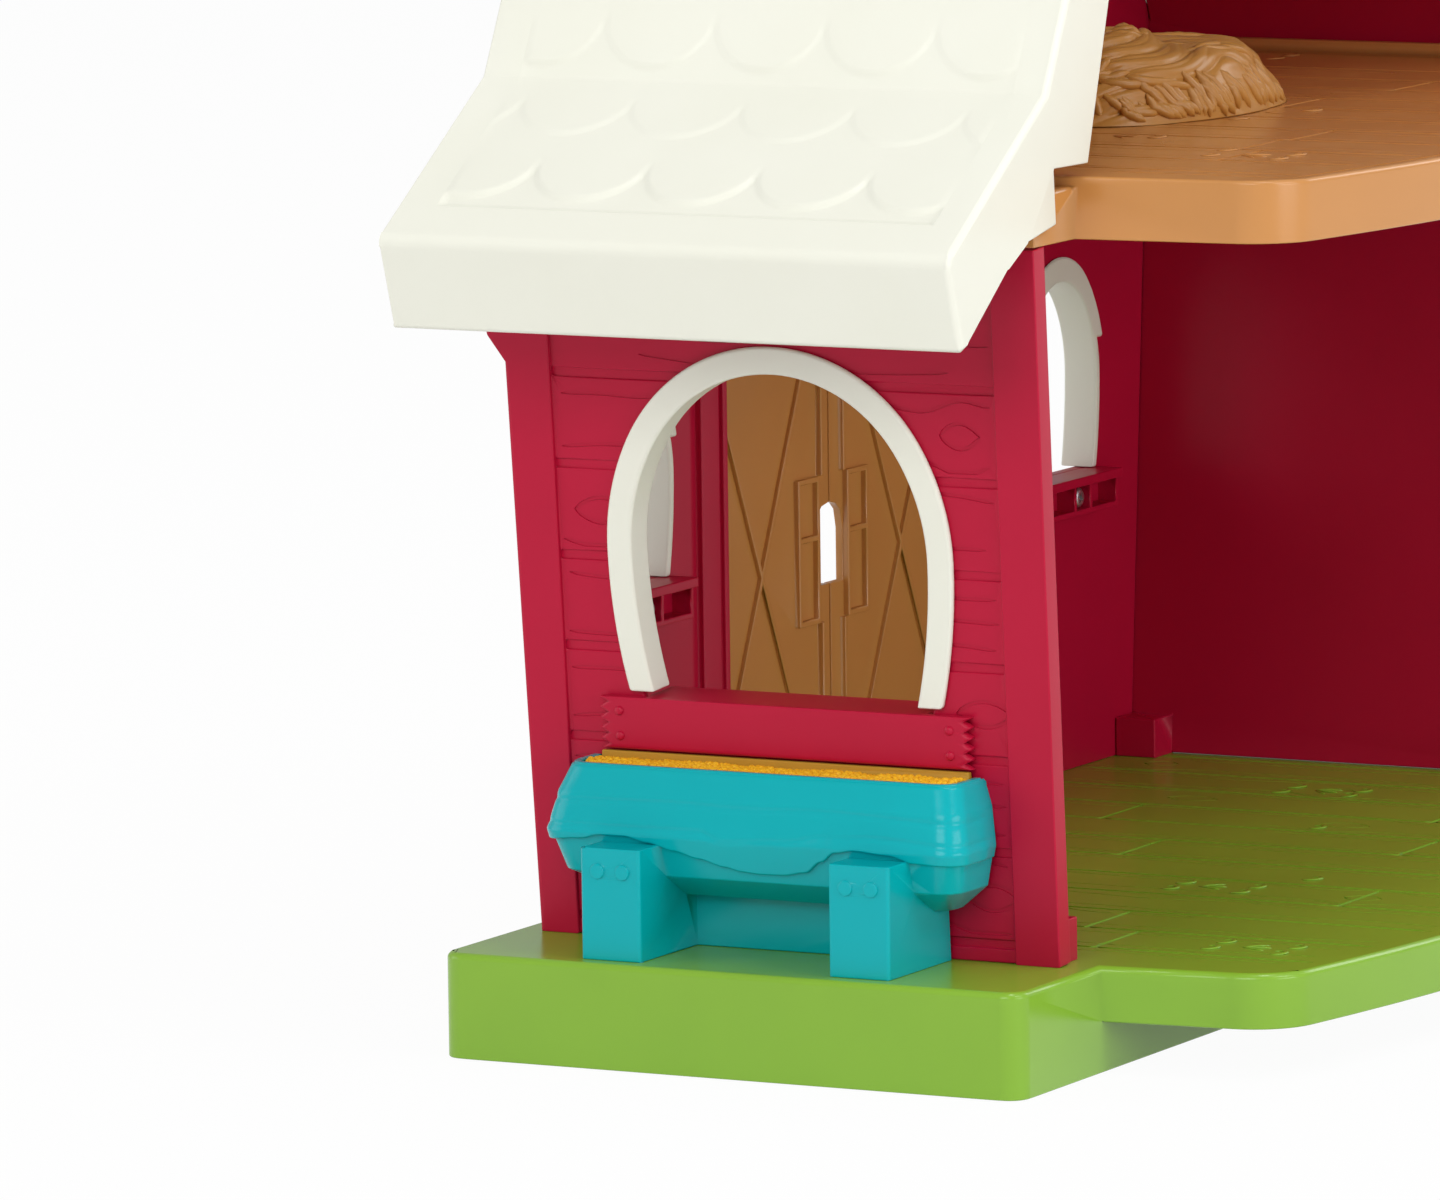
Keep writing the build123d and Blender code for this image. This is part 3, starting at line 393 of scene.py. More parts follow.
def engrave(data, origin, along, up, channels, deep_mm):
    """Sink channels, given as 2-D outlines in mm from the origin, into a flat area of a mesh."""
    out = along.cross(up)
    mesh = bmesh.new()
    mesh.from_mesh(data)
    flat = flat_area(mesh, origin, out)

    def to_flat(place):
        return Vector(((place - origin).dot(along), (place - origin).dot(up))) / MM

    points, kept, top = fill_flat(mesh, flat, to_flat, channels)
    bmesh.ops.delete(mesh, geom=flat, context="FACES")
    sunk = {}
    for face, is_channel in kept:
        for i in face:
            if i not in top:
                top[i] = mesh.verts.new(origin + (along * points[i].x + up * points[i].y) * MM)
            if is_channel and i not in sunk:
                sunk[i] = mesh.verts.new(top[i].co - out * deep_mm * MM)
    bare = {(a, b) for face, is_channel in kept if is_channel
            for a, b in zip(face, face[1:] + face[:1])}
    for face, is_channel in kept:
        level = sunk if is_channel else top
        mesh.faces.new([level[i] for i in face])
    for a, b in bare:
        if (b, a) not in bare:
            wall = mesh.faces.new([top[a], top[b], sunk[b], sunk[a]])
            for edge in (wall.edges[0], wall.edges[2]):
                edge.smooth = False
    written(mesh, data)
    return len(bare)


# %% [markdown]
# ## Drawing the grain
#
# A grain line is a narrow channel round a wavy centre line, narrower at both ends. The lines of a
# plank share one slow noise, so they run together without crossing, and they part round a knot,
# which is a pointed eye. Each plank has its own seed, so the pattern breaks at every joint.

# %% Grain lines
WHOLE_LENGTH = 0.7                 # the chance that a grain line starts, or stops, at a plank's end
SHORTEST_GRAIN = 6.0               # mm
BLUNT = 0.25                       # the width that is left at a channel's end
EYE_HIGH = 0.1625                  # half the height of a knot's eye, over the plank's
EYE_STEPS = 6                      # steps in half of an eye's side


def channel_outline(line, width, taper=2.5):
    """The outline of a channel round a centre line of 2-D points."""
    left, right = [], []
    length = (len(line) - 1) * (Vector(line[1]) - Vector(line[0])).length
    for i, point in enumerate(line):
        ahead = Vector(line[min(i + 1, len(line) - 1)]) - Vector(line[max(i - 1, 0)])
        side = Vector((-ahead.y, ahead.x)).normalized()
        share = i / (len(line) - 1) * length
        half = width / 2 * min(1.0, BLUNT + share / taper, BLUNT + (length - share) / taper)
        left.append(tuple(Vector(point) + side * half))
        right.append(tuple(Vector(point) - side * half))
    return left + right[::-1]


def plank_grain(draw, start, stop, low, high, lines, width, knots=(), step=1.6, turned=False):
    """Grain along one plank from start to stop, between low and high. knots are (u, half)."""
    seed = draw.random() * 90
    tall = high - low
    outlines = []
    centre = (low + high) / 2

    def bent(u, v):
        """Where a line that starts out at v has got to at u."""
        wave = noise.noise(Vector((u / 24, v / 17, seed))) * 0.14 * tall
        slope = noise.noise(Vector((u / 60, seed, 3.1))) * 0.1 * tall
        for knot, half in knots:
            push = math.exp(-((u - knot) / (half * 1.25)) ** 2)
            wave += math.copysign(0.17 * tall, v - centre) * push
        return min(max(v + wave + slope, low + width * 0.9), high - width * 0.9)

    levels = [low + tall * (i + 0.5 + draw.uniform(-0.12, 0.12)) / lines for i in range(lines)]
    for level in levels:
        u0, u1 = start, stop
        if draw.random() < WHOLE_LENGTH:
            u0 += draw.uniform(0.2, 1.2)
        else:
            u0 = draw.uniform(start, stop)
        if draw.random() < WHOLE_LENGTH:
            u1 -= draw.uniform(0.2, 1.2)
        else:
            u1 = draw.uniform(u0, stop)
        if knots and abs(level - centre) < 0.14 * tall or u1 - u0 < SHORTEST_GRAIN:
            continue
        count = max(4, round((u1 - u0) / step))
        line = [u0 + (u1 - u0) * i / count for i in range(count + 1)]
        outlines.append(channel_outline([(u, bent(u, level)) for u in line], width))
    for knot, half in knots:
        for side in (1, -1):
            arch = []
            for i in range(2 * EYE_STEPS + 1):
                t = i / EYE_STEPS - 1
                arch.append((knot + half * t, centre + side * EYE_HIGH * tall * (1 - t * t)))
            outlines.append(channel_outline(arch, width, taper=1.0))
    if turned:
        outlines = [[(v, u) for u, v in outline] for outline in outlines]
    return outlines


GRAIN_WIDE, GRAIN_DEEP = 0.85, 0.28          # mm, on the walls
sample = plank_grain(random.Random(1), 0, 90, 0, 17, 3, GRAIN_WIDE)
print("one plank has", len(sample), "grain lines")

# %% [markdown]
# ## The crimson walls
#
# Each wall is a thin panel of planks between smooth corner posts, and the grooves between the
# planks are already in the CAD model. The grain is engraved on the outside only, three lines to a
# whole plank, with knots beside the window.

# %% Engraved end walls
PLANK, GROOVE = 19.3, 1.9                    # mm from groove to groove, and a groove's width
END_GROOVE, FRONT_GROOVE = 2.95, 2.9         # heights of the lowest groove's foot
GROOVE_CLEAR = 0.5                           # mm between a groove and the grain
PLANK_FOOT, PANEL_TOP = 0.8, 170             # the lowest and highest grain
NARROWEST_PLANK = 6                          # mm, under which a plank has no grain
POST_PROUD = 1.0                             # the corner posts stand this far out
PANEL_SPAN = (9.6, 110.4)                    # depths that the grain reaches, between the posts
KNOTS_BY_WINDOW = (15.5, 19.0, 99.0, 103.0, 106.0)    # depths
FRONT_CORNER = ("Y", -0.0880, -0.0868, 1.0)  # the corner beside the doors is rounder


def plank(groove_foot, k):
    """The lowest and highest grain on the plank over groove number k."""
    low = groove_foot + GROOVE + k * PLANK + GROOVE_CLEAR
    return low, low + PLANK - GROOVE - 2 * GROOVE_CLEAR


def end_wall(node, name, side, seed):
    """An end wall with grain on its outside. side is 1 at +X and -1 at -X."""
    data = rounded_copy(node, name, 0.35, rims=[FRONT_CORNER])
    draw = random.Random(seed)
    channels = []
    for k in range(-1, 9):
        low, high = plank(END_GROOVE, k)
        low, high = max(low, PLANK_FOOT), min(high, PANEL_TOP)
        if high - low < NARROWEST_PLANK:
            continue
        lines = 3 if high - low > 12 else 2
        knots = []
        if draw.random() < 0.55:
            knots.append((draw.choice(KNOTS_BY_WINDOW), draw.uniform(4.0, 6.5)))
        if side < 0 and draw.random() < 0.6:
            knots.append((draw.uniform(38, 82), draw.uniform(5.0, 8.0)))
        channels += plank_grain(draw, *PANEL_SPAN, low, high, lines, GRAIN_WIDE, knots)
    channels = [[(side * u, v) for u, v in outline] for outline in channels]
    out = Vector((side * math.cos(LEAN), 0, -math.sin(LEAN)))
    up = Vector((side * math.sin(LEAN), 0, math.cos(LEAN)))
    origin = spot(side * WALL, 0, 0) - out * POST_PROUD * MM
    cut = engrave(data, origin, Vector((0, side, 0)), up, channels, GRAIN_DEEP)
    finished(as_object(name, data, crimson_abs), node=node)
    print(name, "has", len(channels), "grain lines,", cut, "channel edges")


end_wall("window_end_wall", "crimson_window_end", 1, 11)
end_wall("plain_end_wall", "crimson_plain_end", -1, 12)

# %% Engraved front wall
FRONT_FACE = -0.6                            # depth of the front wall's outside
DOOR_CLEAR = 71.5                            # X that the grain keeps from the doors and hinges
DOOR_CLEAR_TOP = 122                         # height over which it runs right across
KNOT_CLEAR = 12                              # mm between a knot and a plank's end


def front_reach(height):
    """How far from the middle the grain reaches, under the roof's two slopes."""
    if height < 150:
        return 139.5
    if height > 226:
        return 112 - (height - 226) * 1.86
    return 145 - max(0, height - 168) * 0.53


def front_wall():
    data = rounded_copy("front_wall", "crimson_front_wall", 0.3)
    draw = random.Random(21)
    channels = []
    for k in range(-1, 15):
        low, high = plank(FRONT_GROOVE, k)
        low = max(low, PLANK_FOOT)
        reach = front_reach(low)
        if high - low < NARROWEST_PLANK or reach < 14:
            continue
        spans = [(-reach, reach)]
        if low < DOOR_CLEAR_TOP:
            spans = [(-reach, -DOOR_CLEAR), (DOOR_CLEAR, reach)]
        for start, stop in spans:
            knots = [(draw.uniform(start + KNOT_CLEAR, stop - KNOT_CLEAR), draw.uniform(5, 8))]
            channels += plank_grain(draw, start, stop, low, high, 3, GRAIN_WIDE, knots)
    origin = spot(0, FRONT_FACE, 0)
    cut = engrave(data, origin, Vector((1, 0, 0)), Vector((0, 0, 1)), channels, GRAIN_DEEP)
    finished(as_object("crimson_front_wall", data, crimson_abs), node="front_wall")
    print("front wall has", len(channels), "grain lines,", cut, "channel edges")


front_wall()

# %% [markdown]
# ## The two floors
#
# The green play floor and the tan loft floor are laid with boards that run front to back. Their
# joints are wider channels, butt joints cross a board here and there, and finer grain runs along
# each board. The same engraving makes them, turned by a quarter.

# %% Engraved floors
BOARD = 22.9                       # mm, width of a floor board
FIRST_JOINT = 1.5                  # mm, X of the joint nearest the middle
JOINT_WIDE, JOINT_CLEAR = 1.4, 1.2  # mm, and how far the grain keeps from a joint's centre line
BUTT_WIDE = 1.1                    # mm, width of a butt joint
FLOOR_GRAIN_WIDE = 0.5
LINE_DEEP = 0.3


def bow_back(x, half, front, corner):
    """How deep a bow-fronted floor reaches at X, from its middle and its corner depths."""
    return corner + (front - corner) * (1 - (x / half) ** 2)


def floor_channels(seed, half, start, front, corner, gap):
    """The joints and grain of a floor, from its back depth to a gap before its bow."""
    draw = random.Random(seed)
    channels = []
    count = int(half // BOARD) + 1
    for k in range(-count, count + 1):
        joint = FIRST_JOINT + BOARD * k
        if abs(joint) < half - 2:
            stop = bow_back(joint, half, front, corner) - gap
            ticks = max(4, round((stop - start) / 4))
            line = [(joint, start + (stop - start) * i / ticks) for i in range(ticks + 1)]
            channels.append(channel_outline(line, JOINT_WIDE, taper=0.5))
        low = max(joint + JOINT_CLEAR, -half + 3)
        high = min(joint + BOARD - JOINT_CLEAR, half - 3)
        if high - low < 5:
            continue
        stop = min(bow_back(x, half, front, corner) for x in (low, high)) - gap
        knots = [(draw.uniform(start + KNOT_CLEAR, stop - KNOT_CLEAR), draw.uniform(4, 7))]
        lines = 3 if high - low > 15 else 1
        channels += plank_grain(draw, start, stop - 1, low, high, lines, FLOOR_GRAIN_WIDE, knots,
                                step=2.4, turned=True)
        butt = draw.uniform(start + 20, stop - 8)
        channels.append([(low - 0.5, butt), (high + 0.5, butt),
                         (high + 0.5, butt + BUTT_WIDE), (low - 0.5, butt + BUTT_WIDE)])
    return channels


def floor_piece(node, name, material, height, channels, rim_deep, rim_mm):
    """A floor with its channels. Its rim is rounder than its other edges."""
    top = (FLOOR + height) * MM
    data = rounded_copy(node, name, 0.35, rims=[("Z", top - rim_deep * MM, top + 0.1 * MM, rim_mm)])
    cut = engrave(data, spot(0, 0, height), Vector((1, 0, 0)), Vector((0, 1, 0)), channels,
                  LINE_DEEP)
    finished(as_object(name, data, material), node=node)
    print(name, "has", len(channels), "channels,", cut, "channel edges")


floor_piece("base", "green_base", green_abs, 0.0,
            floor_channels(31, 138.0, 2.5, 178.5, 165.0, 3.0), rim_deep=1.0, rim_mm=0.45)

# %% The loft's border line
BORDER_HALF = 122.6                # X of the line that runs round the loft's open sides
deck_lines = floor_channels(32, 121.5, 2.5, 176.0, 165.5, 2.0)
across_front = [-BORDER_HALF + 2 * BORDER_HALF * i / 60 for i in range(61)]
deck_lines.append(channel_outline([(x, bow_back(x, 133.0, 176.4, 163.4)) for x in across_front],
                                  1.0, taper=1.0))
for side in (-1, 1):
    line = [(side * BORDER_HALF, 124.0 + 41.0 * i / 12) for i in range(13)]
    deck_lines.append(channel_outline(line, 1.0, taper=1.0))
floor_piece("loft_deck", "tan_loft", tan_abs, DECK, deck_lines, rim_deep=2.2, rim_mm=1.1)

# %% [markdown]
# ## The scalloped roof
#
# The roof's shingles are a very low relief, soft enough to catch only a thin highlight. The CAD
# roof has them with straight facets, so its sunk panels are taken out of the copy and a fine skin
# goes in their place: a grid that runs up the whole slope, over both bends, and rises and falls
# with the rows. Each row is a wedge, thickest at its round tips, and lies on the row below.

# %% Roof relief
ROOF_LINE = [Vector(p) for p in ((197.3, 151.2), (151.7, 180.6), (124.0, 233.5), (0.0, 299.4))]
SLOPES = list(zip(ROOF_LINE, ROOF_LINE[1:]))
PANEL_FROM, PANEL_TO = 11.0, 247.4          # mm up the slope, from the fascia's top
PANEL_FRONT, PANEL_BACK = 2.6, 116.6        # depths
PANEL_SUNK = 0.6
SHINGLE, SHINGLE_ROW, SHINGLE_MIDDLE = 25.5, 21.2, 58.0
FIRST_TIP = 14.96                           # mm up the slope
LONG = SHINGLE_ROW + SHINGLE / 2
TIP_HIGH, WEDGE_FALL = 0.2, 0.7             # mm, a shingle's tip, and its fall to its top
DOME = 0.12                                 # mm, how much its middle swells
SOFT = 0.55                                 # mm, half the width of a shingle's soft edge
PANEL_EDGE = 1.4                            # mm over which the relief starts at a panel's edge
BEND_BLEND = 1.5                            # mm to each side of a bend
GRID_STEP = 0.62                            # mm up the slope
GRID_WIDE = 170                             # steps across it


def smooth(t):
    """0 to 1 with a soft start and a soft end."""
    t = min(1.0, max(0.0, t))
    return t * t * (3 - 2 * t)


def shingle_height(up, depth):
    """Height of the shingles over the slope, at a distance up it and a depth."""
    height = -PANEL_SUNK
    top_row = int((up - FIRST_TIP) // SHINGLE_ROW) + 1
    for row in range(max(0, top_row - 3), top_row + 1):
        tip = FIRST_TIP + row * SHINGLE_ROW
        shift = SHINGLE / 2 if row % 2 else 0.0
        across = (depth - SHINGLE_MIDDLE - shift + SHINGLE / 2) % SHINGLE - SHINGLE / 2
        radius = SHINGLE / 2
        inside = up - tip - radius + math.sqrt(max(0.0, radius ** 2 - across ** 2))
        if up < tip + radius:
            inside = radius - math.hypot(across, up - tip - radius)
        own = TIP_HIGH - WEDGE_FALL * (up - tip) / LONG
        dome = DOME * math.cos(across / radius * math.pi / 2)
        height += (own + dome - height) * smooth((inside + SOFT) / (2 * SOFT))
    border = min(depth - PANEL_FRONT, PANEL_BACK - depth, up - PANEL_FROM, PANEL_TO - up)
    return height * smooth(border / PANEL_EDGE)


def roof_place(up, depth, height, side):
    """A point over the roof's slopes, with the normals blended at the two bends."""
    travelled = 0.0
    for i, (low, high) in enumerate(SLOPES):
        run = (high - low).length
        if up <= travelled + run or i == len(SLOPES) - 1:
            break
        travelled += run
    way = (high - low) / run
    foot = low + way * (up - travelled)
    normal = Vector((way.y, -way.x))
    for j, near in ((i - 1, up - travelled), (i + 1, travelled + run - up)):
        if 0 <= j < len(SLOPES) and near < BEND_BLEND:
            other = (SLOPES[j][1] - SLOPES[j][0]).normalized()
            blend = 0.5 * (1 - max(0.0, near) / BEND_BLEND)
            normal = normal.lerp(Vector((other.y, -other.x)), blend)
    top = foot + normal.normalized() * height
    return spot(side * top.x, depth, top.y)


# %% Roof halves
SLACK = 0.02                       # mm, how far past a panel's rim a point may lie
UNDER, OVER = 1.2, 0.4             # mm under and over a slope that still belong to it
BEYOND = 0.5                       # mm past a slope's ends
SHORTEST_ROUNDED = 12              # mm, under which a roof edge is part of the shingles


def in_panel(place, side):
    """Whether a point of the CAD roof belongs to the sunk panels."""
    x, z = side * place.x / MM, place.z / MM - FLOOR
    depth = place.y / MM - FRONT
    if not PANEL_FRONT - SLACK < depth < PANEL_BACK + SLACK:
        return False
    travelled = 0.0
    for low, high in SLOPES:
        way = (high - low).normalized()
        offset = Vector((x, z)) - low
        up = offset.dot(way)
        over = offset.dot(Vector((way.y, -way.x)))
        length = (high - low).length
        if -UNDER < over < OVER and -BEYOND < up < length + BEYOND:
            return PANEL_FROM - SLACK < travelled + up < PANEL_TO + SLACK
        travelled += length
    return False


def roof_skin(mesh, side):
    """A grid over the sunk panels, added to the roof's mesh."""
    first, second = [(high - low).length for low, high in SLOPES[:2]]
    stops = [PANEL_FROM, first, first + second, PANEL_TO]
    ups = []
    for low, high in zip(stops, stops[1:]):
        count = round((high - low) / GRID_STEP)
        ups += [low + (high - low) * i / count for i in range(count)]
    ups.append(PANEL_TO)
    rows = []
    for up in ups:
        row = []
        for i in range(GRID_WIDE + 1):
            depth = PANEL_FRONT + (PANEL_BACK - PANEL_FRONT) * i / GRID_WIDE
            row.append(mesh.verts.new(roof_place(up, depth, shingle_height(up, depth), side)))
        rows.append(row)
    for lower, upper in zip(rows, rows[1:]):
        for a, b, c, d in zip(lower, lower[1:], upper[1:], upper):
            mesh.faces.new((a, b, c, d) if side > 0 else (d, c, b, a))
    return (len(rows) - 1) * GRID_WIDE


def roof_half(node, name, side):
    """A roof half whose sunk panels are swapped for the soft relief."""
    mesh = cad_copy(node)
    inner = [face for face in mesh.faces if all(in_panel(v.co, side) for v in face.verts)]
    bmesh.ops.delete(mesh, geom=inner, context="FACES")
    data = rounded_copy(node, name, 0.4, mesh=mesh, shortest=SHORTEST_ROUNDED)
    mesh = bmesh.new()
    mesh.from_mesh(data)
    count = roof_skin(mesh, side)
    written(mesh, data)
    finished(as_object(name, data, cream_pp), node=node)
    print(name, "lost", len(inner), "CAD facets and has", count, "relief faces")


roof_half("roof_window_side", "cream_roof_window_side", 1)
roof_half("roof_plain_side", "cream_roof_plain_side", -1)

# %% [markdown]
# ## Frames, boards, boxes and doors
#
# These keep their CAD shape and only get the radii of their moulds: wide ones on the cream frames
# and the toothed boards, and narrow ones on the ribbed doors.

# %% Simple dressed nodes
DRESSED = [
    ("end_window_frame", "cream_arch_frame", cream_pp, 0.7, "barn"),
    ("front_window_frame_left", "cream_front_frame_left", cream_pp, 0.6, "barn"),
    ("front_window_frame_right", "cream_front_frame_right", cream_pp, 0.6, "barn"),
    ("end_sill_board", "crimson_sill_board", crimson_abs, 0.7, "barn"),
    ("front_board_left", "crimson_front_board_left", crimson_abs, 0.7, "barn"),
    ("front_board_right", "crimson_front_board_right", crimson_abs, 0.7, "barn"),
    ("front_sill_box_left", "crimson_sill_box_left", crimson_abs, 0.3, "barn"),
    ("front_sill_box_right", "crimson_sill_box_right", crimson_abs, 0.3, "barn"),
    ("ridge_cap", "cream_ridge_cap", cream_pp, 0.5, "barn"),
    ("trough", "teal_trough", teal_abs, 0.25, "barn"),
    # the feed bed takes the darker feed colour, which is painted shade under the sill
    ("trough_feed", "ochre_feed_bed", shade_painted_feed, 0.3, "barn"),
    ("left_hinge_pins", "steel_left_pins", steel, 0.2, "barn"),
    ("right_hinge_pins", "steel_right_pins", steel, 0.2, "barn"),
    ("left_door", "tan_left_door", tan_abs, 0.25, "left_door"),
    ("right_door", "tan_right_door", tan_abs, 0.25, "right_door"),
]
for node, name, material, edge_mm, body in DRESSED:
    finished(as_object(name, rounded_copy(node, name, edge_mm), material), body, node)
print("dressed", len(DRESSED), "nodes")

# %% [markdown]
# ## Geometry Nodes for what repeats
#
# Two trees in this lesson start and end alike, so three helpers do that part. The first makes a
# tree with named inputs. The second ends it: instances are made real, because an export drops
# them, and the result gets its material. The third runs a tree and turns its result into a plain
# mesh.

# %% Tree helpers
def open_tree(name, wanted):
    """A tree with the wanted (label, kind) inputs, their sockets, and their identifiers."""
    tree = bpy.data.node_groups.new(name, "GeometryNodeTree")
    keys = {}
    for label, kind in wanted:
        socket = tree.interface.new_socket(label, in_out="INPUT", socket_type="NodeSocket" + kind)
        keys[label] = socket.identifier
    tree.interface.new_socket("Result", in_out="OUTPUT", socket_type="NodeSocketGeometry")
    return tree, add(tree, "NodeGroupInput").outputs, keys


def close_tree(tree, given, geometry):
    real = add(tree, "GeometryNodeRealizeInstances", {"Geometry": geometry})
    coloured = add(tree, "GeometryNodeSetMaterial",
                   {"Geometry": real.outputs["Geometry"], "Material": given["Finish"]})
    add(tree, "NodeGroupOutput", {"Result": coloured.outputs["Geometry"]})


def grown(name, data, material, tree_and_keys, values, node=None):
    """Run a tree on mesh data and finish its result, which rides on the barn."""
    tree, keys = tree_and_keys
    carrier = as_object(name + "_carrier", data, material)
    modifier = carrier.modifiers.new("grow", "NODES")
    modifier.node_group = tree
    for label, value in values.items():
        modifier[keys[label]] = value
    result = evaluated(carrier, name)
    bpy.data.objects.remove(carrier)
    for polygon in result.polygons:
        polygon.use_smooth = True
    finished(in_scene(name, result), node=node)
    return len(result.polygons)


# %% [markdown]
# ## One shape at many places
#
# Screws, nails, hoof prints and feed grains are all one shape set at many places. Each point of a
# mesh carries the way that the shape's Z axis aims, a spin about that axis and a size, and the
# tree sets an instance there.

# %% The placing tree
def placing_tree():
    tree, given, keys = open_tree("place_on_points", (
        ("Points", "Geometry"), ("Shape", "Object"), ("Finish", "Material")))
    aim = add(tree, "GeometryNodeInputNamedAttribute", {"Name": "aim"}, data_type="FLOAT_VECTOR")
    spin = add(tree, "GeometryNodeInputNamedAttribute", {"Name": "spin"}, data_type="FLOAT")
    size = add(tree, "GeometryNodeInputNamedAttribute", {"Name": "size"}, data_type="FLOAT")
    about = add(tree, "FunctionNodeAxisAngleToRotation",
                {"Axis": (0.0, 0.0, 1.0), "Angle": spin.outputs["Attribute"]})
    aimed = add(tree, "FunctionNodeAlignRotationToVector",
                {"Rotation": about.outputs["Rotation"], "Vector": aim.outputs["Attribute"]},
                axis="Z")
    shape = add(tree, "GeometryNodeObjectInfo", {"Object": given["Shape"]})
    placed = add(tree, "GeometryNodeInstanceOnPoints",
                 {"Points": given["Points"], "Instance": shape.outputs["Geometry"],
                  "Rotation": aimed.outputs["Rotation"], "Scale": size.outputs["Attribute"]})
    close_tree(tree, given, placed.outputs["Instances"])
    return tree, keys


PLACING = placing_tree()


def place_many(name, shape_data, material, places, node=None):
    """One piece from a shape and its places, which list (point, aim, spin, size)."""
    shape = as_object(name + "_shape", shape_data, material)
    data = bpy.data.meshes.new(name + "_points")
    data.from_pydata([place[0] for place in places], [], [])
    aim = data.attributes.new("aim", "FLOAT_VECTOR", "POINT")
    aim.data.foreach_set("vector", [v for place in places for v in place[1]])
    for key, column in (("spin", 2), ("size", 3)):
        attribute = data.attributes.new(key, "FLOAT", "POINT")
        attribute.data.foreach_set("value", [place[column] for place in places])
    values = {"Shape": shape, "Finish": material}
    faces = grown(name, data, material, PLACING, values, node)
    bpy.data.objects.remove(shape)
    print(name, "has", len(places), "copies and", faces, "faces")


# %% [markdown]
# ## Screws and nails
#
# A pan-head screw is a turned shape: a profile spun about its axis, with a cross recess engraved
# in its flat top by the same function that cut the grain. The moulded nail heads on the toothed
# boards are low domes.

# %% Turned shapes
def steps_round(sides):
    """Angles at even steps round a circle."""
    return [2 * math.pi * i / sides for i in range(sides)]


def turned(profile, sides):
    """A closed turned shape from (radius, height) pairs in mm, with radius 0 at both ends."""
    mesh = bmesh.new()
    rings = []
    for radius, height in profile:
        if radius == 0:
            rings.append([mesh.verts.new((0, 0, height * MM))])
            continue
        rings.append([mesh.verts.new((radius * MM * math.cos(a), radius * MM * math.sin(a),
                                      height * MM)) for a in steps_round(sides)])
    for low, high in zip(rings, rings[1:]):
        for i in range(sides):
            j = (i + 1) % sides
            corners = [low[i % len(low)], low[j % len(low)],
                       high[j % len(high)], high[i % len(high)]]
            mesh.faces.new(list(dict.fromkeys(corners)))
    return mesh


def pan_head_screw(shank, length, head, rise):
    """A screw that points along +Z from its head's underside."""
    profile = [(0, -rise), (head * 0.72, -rise), (head * 0.93, -rise * 0.75), (head, -rise * 0.4),
               (head, 0), (shank, 0), (shank, length - 1.2), (shank * 0.4, length), (0, length)]
    mesh = turned(profile, 24)
    data = mesh_data("screw_shape", mesh)
    long, half = head * 0.5, head * 0.13
    bars = [[(-long, -half), (long, -half), (long, half), (-long, half)]]
    bars.append([(y, x) for x, y in bars[0]])
    engrave(data, Vector((0, 0, -rise * MM)), Vector((1, 0, 0)), Vector((0, -1, 0)), bars,
            rise * 0.5)
    return data


# %% Screws
UPWARDS, OUT_FRONT = (0.0, 0.0, 1.0), (0.0, -1.0, 0.0)
BASE_SEAT = -18.2                  # height of the seats under the base
FRONT_WINDOWS = (-104.0, 104.0)    # X of the two front windows' middles
SIDES = (-1, 1)
# node, (shank radius, length, head radius, head height), aim, spin, seats (X, depth, height)
SCREWS = [
    ("base_screws", (1.1, 26.0, 2.6, 1.6), UPWARDS, 0.4,
     [(x, y, BASE_SEAT) for x, y in ((-135.6, 6.2), (-135.6, 114.0), (135.6, 6.2), (135.6, 114.0),
                                     (-69.2, 5.0), (69.2, 5.0))]),
    ("trough_screws", (1.1, 26.0, 2.6, 1.6), UPWARDS, 0.2,
     [(WALL + 18, y, BASE_SEAT) for y in (31.9, 89.4)]),
    ("loft_screws", (0.9, 12.6, 2.2, 1.4), UPWARDS, 0.6,
     [(side * 146.2, y, 144.4) for side in SIDES for y in (22.0, 94.0)]),
    ("ledge_screws", (1.1, 7.2, 2.4, 1.8), OUT_FRONT, 0.5, [(x, 4.4, 63.4) for x in FRONT_WINDOWS]),
    ("roof_screws", (0.9, 3.2, 2.0, 1.3), OUT_FRONT, 0.3,
     [(side * x, 3.2, z) for side in SIDES for x, z in ((112.0, 220.0), (40.0, 262.0))]),
]
for node, sizes, aim, spin, seats in SCREWS:
    places = [(spot(*seat), aim, spin, 1.0) for seat in seats]
    place_many("steel_" + node, pan_head_screw(*sizes), steel, places, node)

# %% Moulded nail heads
NAIL_PROFILE = [(0, -0.3), (1.0, -0.3), (1.0, 0.15), (0.8, 0.42), (0.4, 0.56), (0, 0.6)]
END_WINDOW = 60.5                  # depth of the end window's middle
nail = mesh_data("nail_shape", turned(NAIL_PROFILE, 16))
lean_out = Vector((math.cos(LEAN), 0, -math.sin(LEAN)))
lean_up = Vector((math.sin(LEAN), 0, math.cos(LEAN)))
nail_places = []
for offset in (-38.4, 38.4):
    for height in (43.6, 48.9):
        face = spot(WALL, END_WINDOW + offset, 0) + (lean_up * height + lean_out * 1.6) * MM
        nail_places.append((face, tuple(lean_out), 0.0, 1.0))
for x in FRONT_WINDOWS:
    for offset in (-18.2, 18.2):
        for height in (60.4, 65.4):
            nail_places.append((spot(x + offset, -4.0, height), OUT_FRONT, 0.0, 0.85))
place_many("crimson_nail_heads", nail, crimson_abs, nail_places)

# %% [markdown]
# ## Hoof and bird prints
#
# Trails of small prints cross both floors, moulded as ridges a third of a millimetre high. A print
# is made of bent ridges: a centre line, a width that fades to nothing at both ends, and a round
# cross-section. A hoof is one crescent, and a bird print three thin toes.

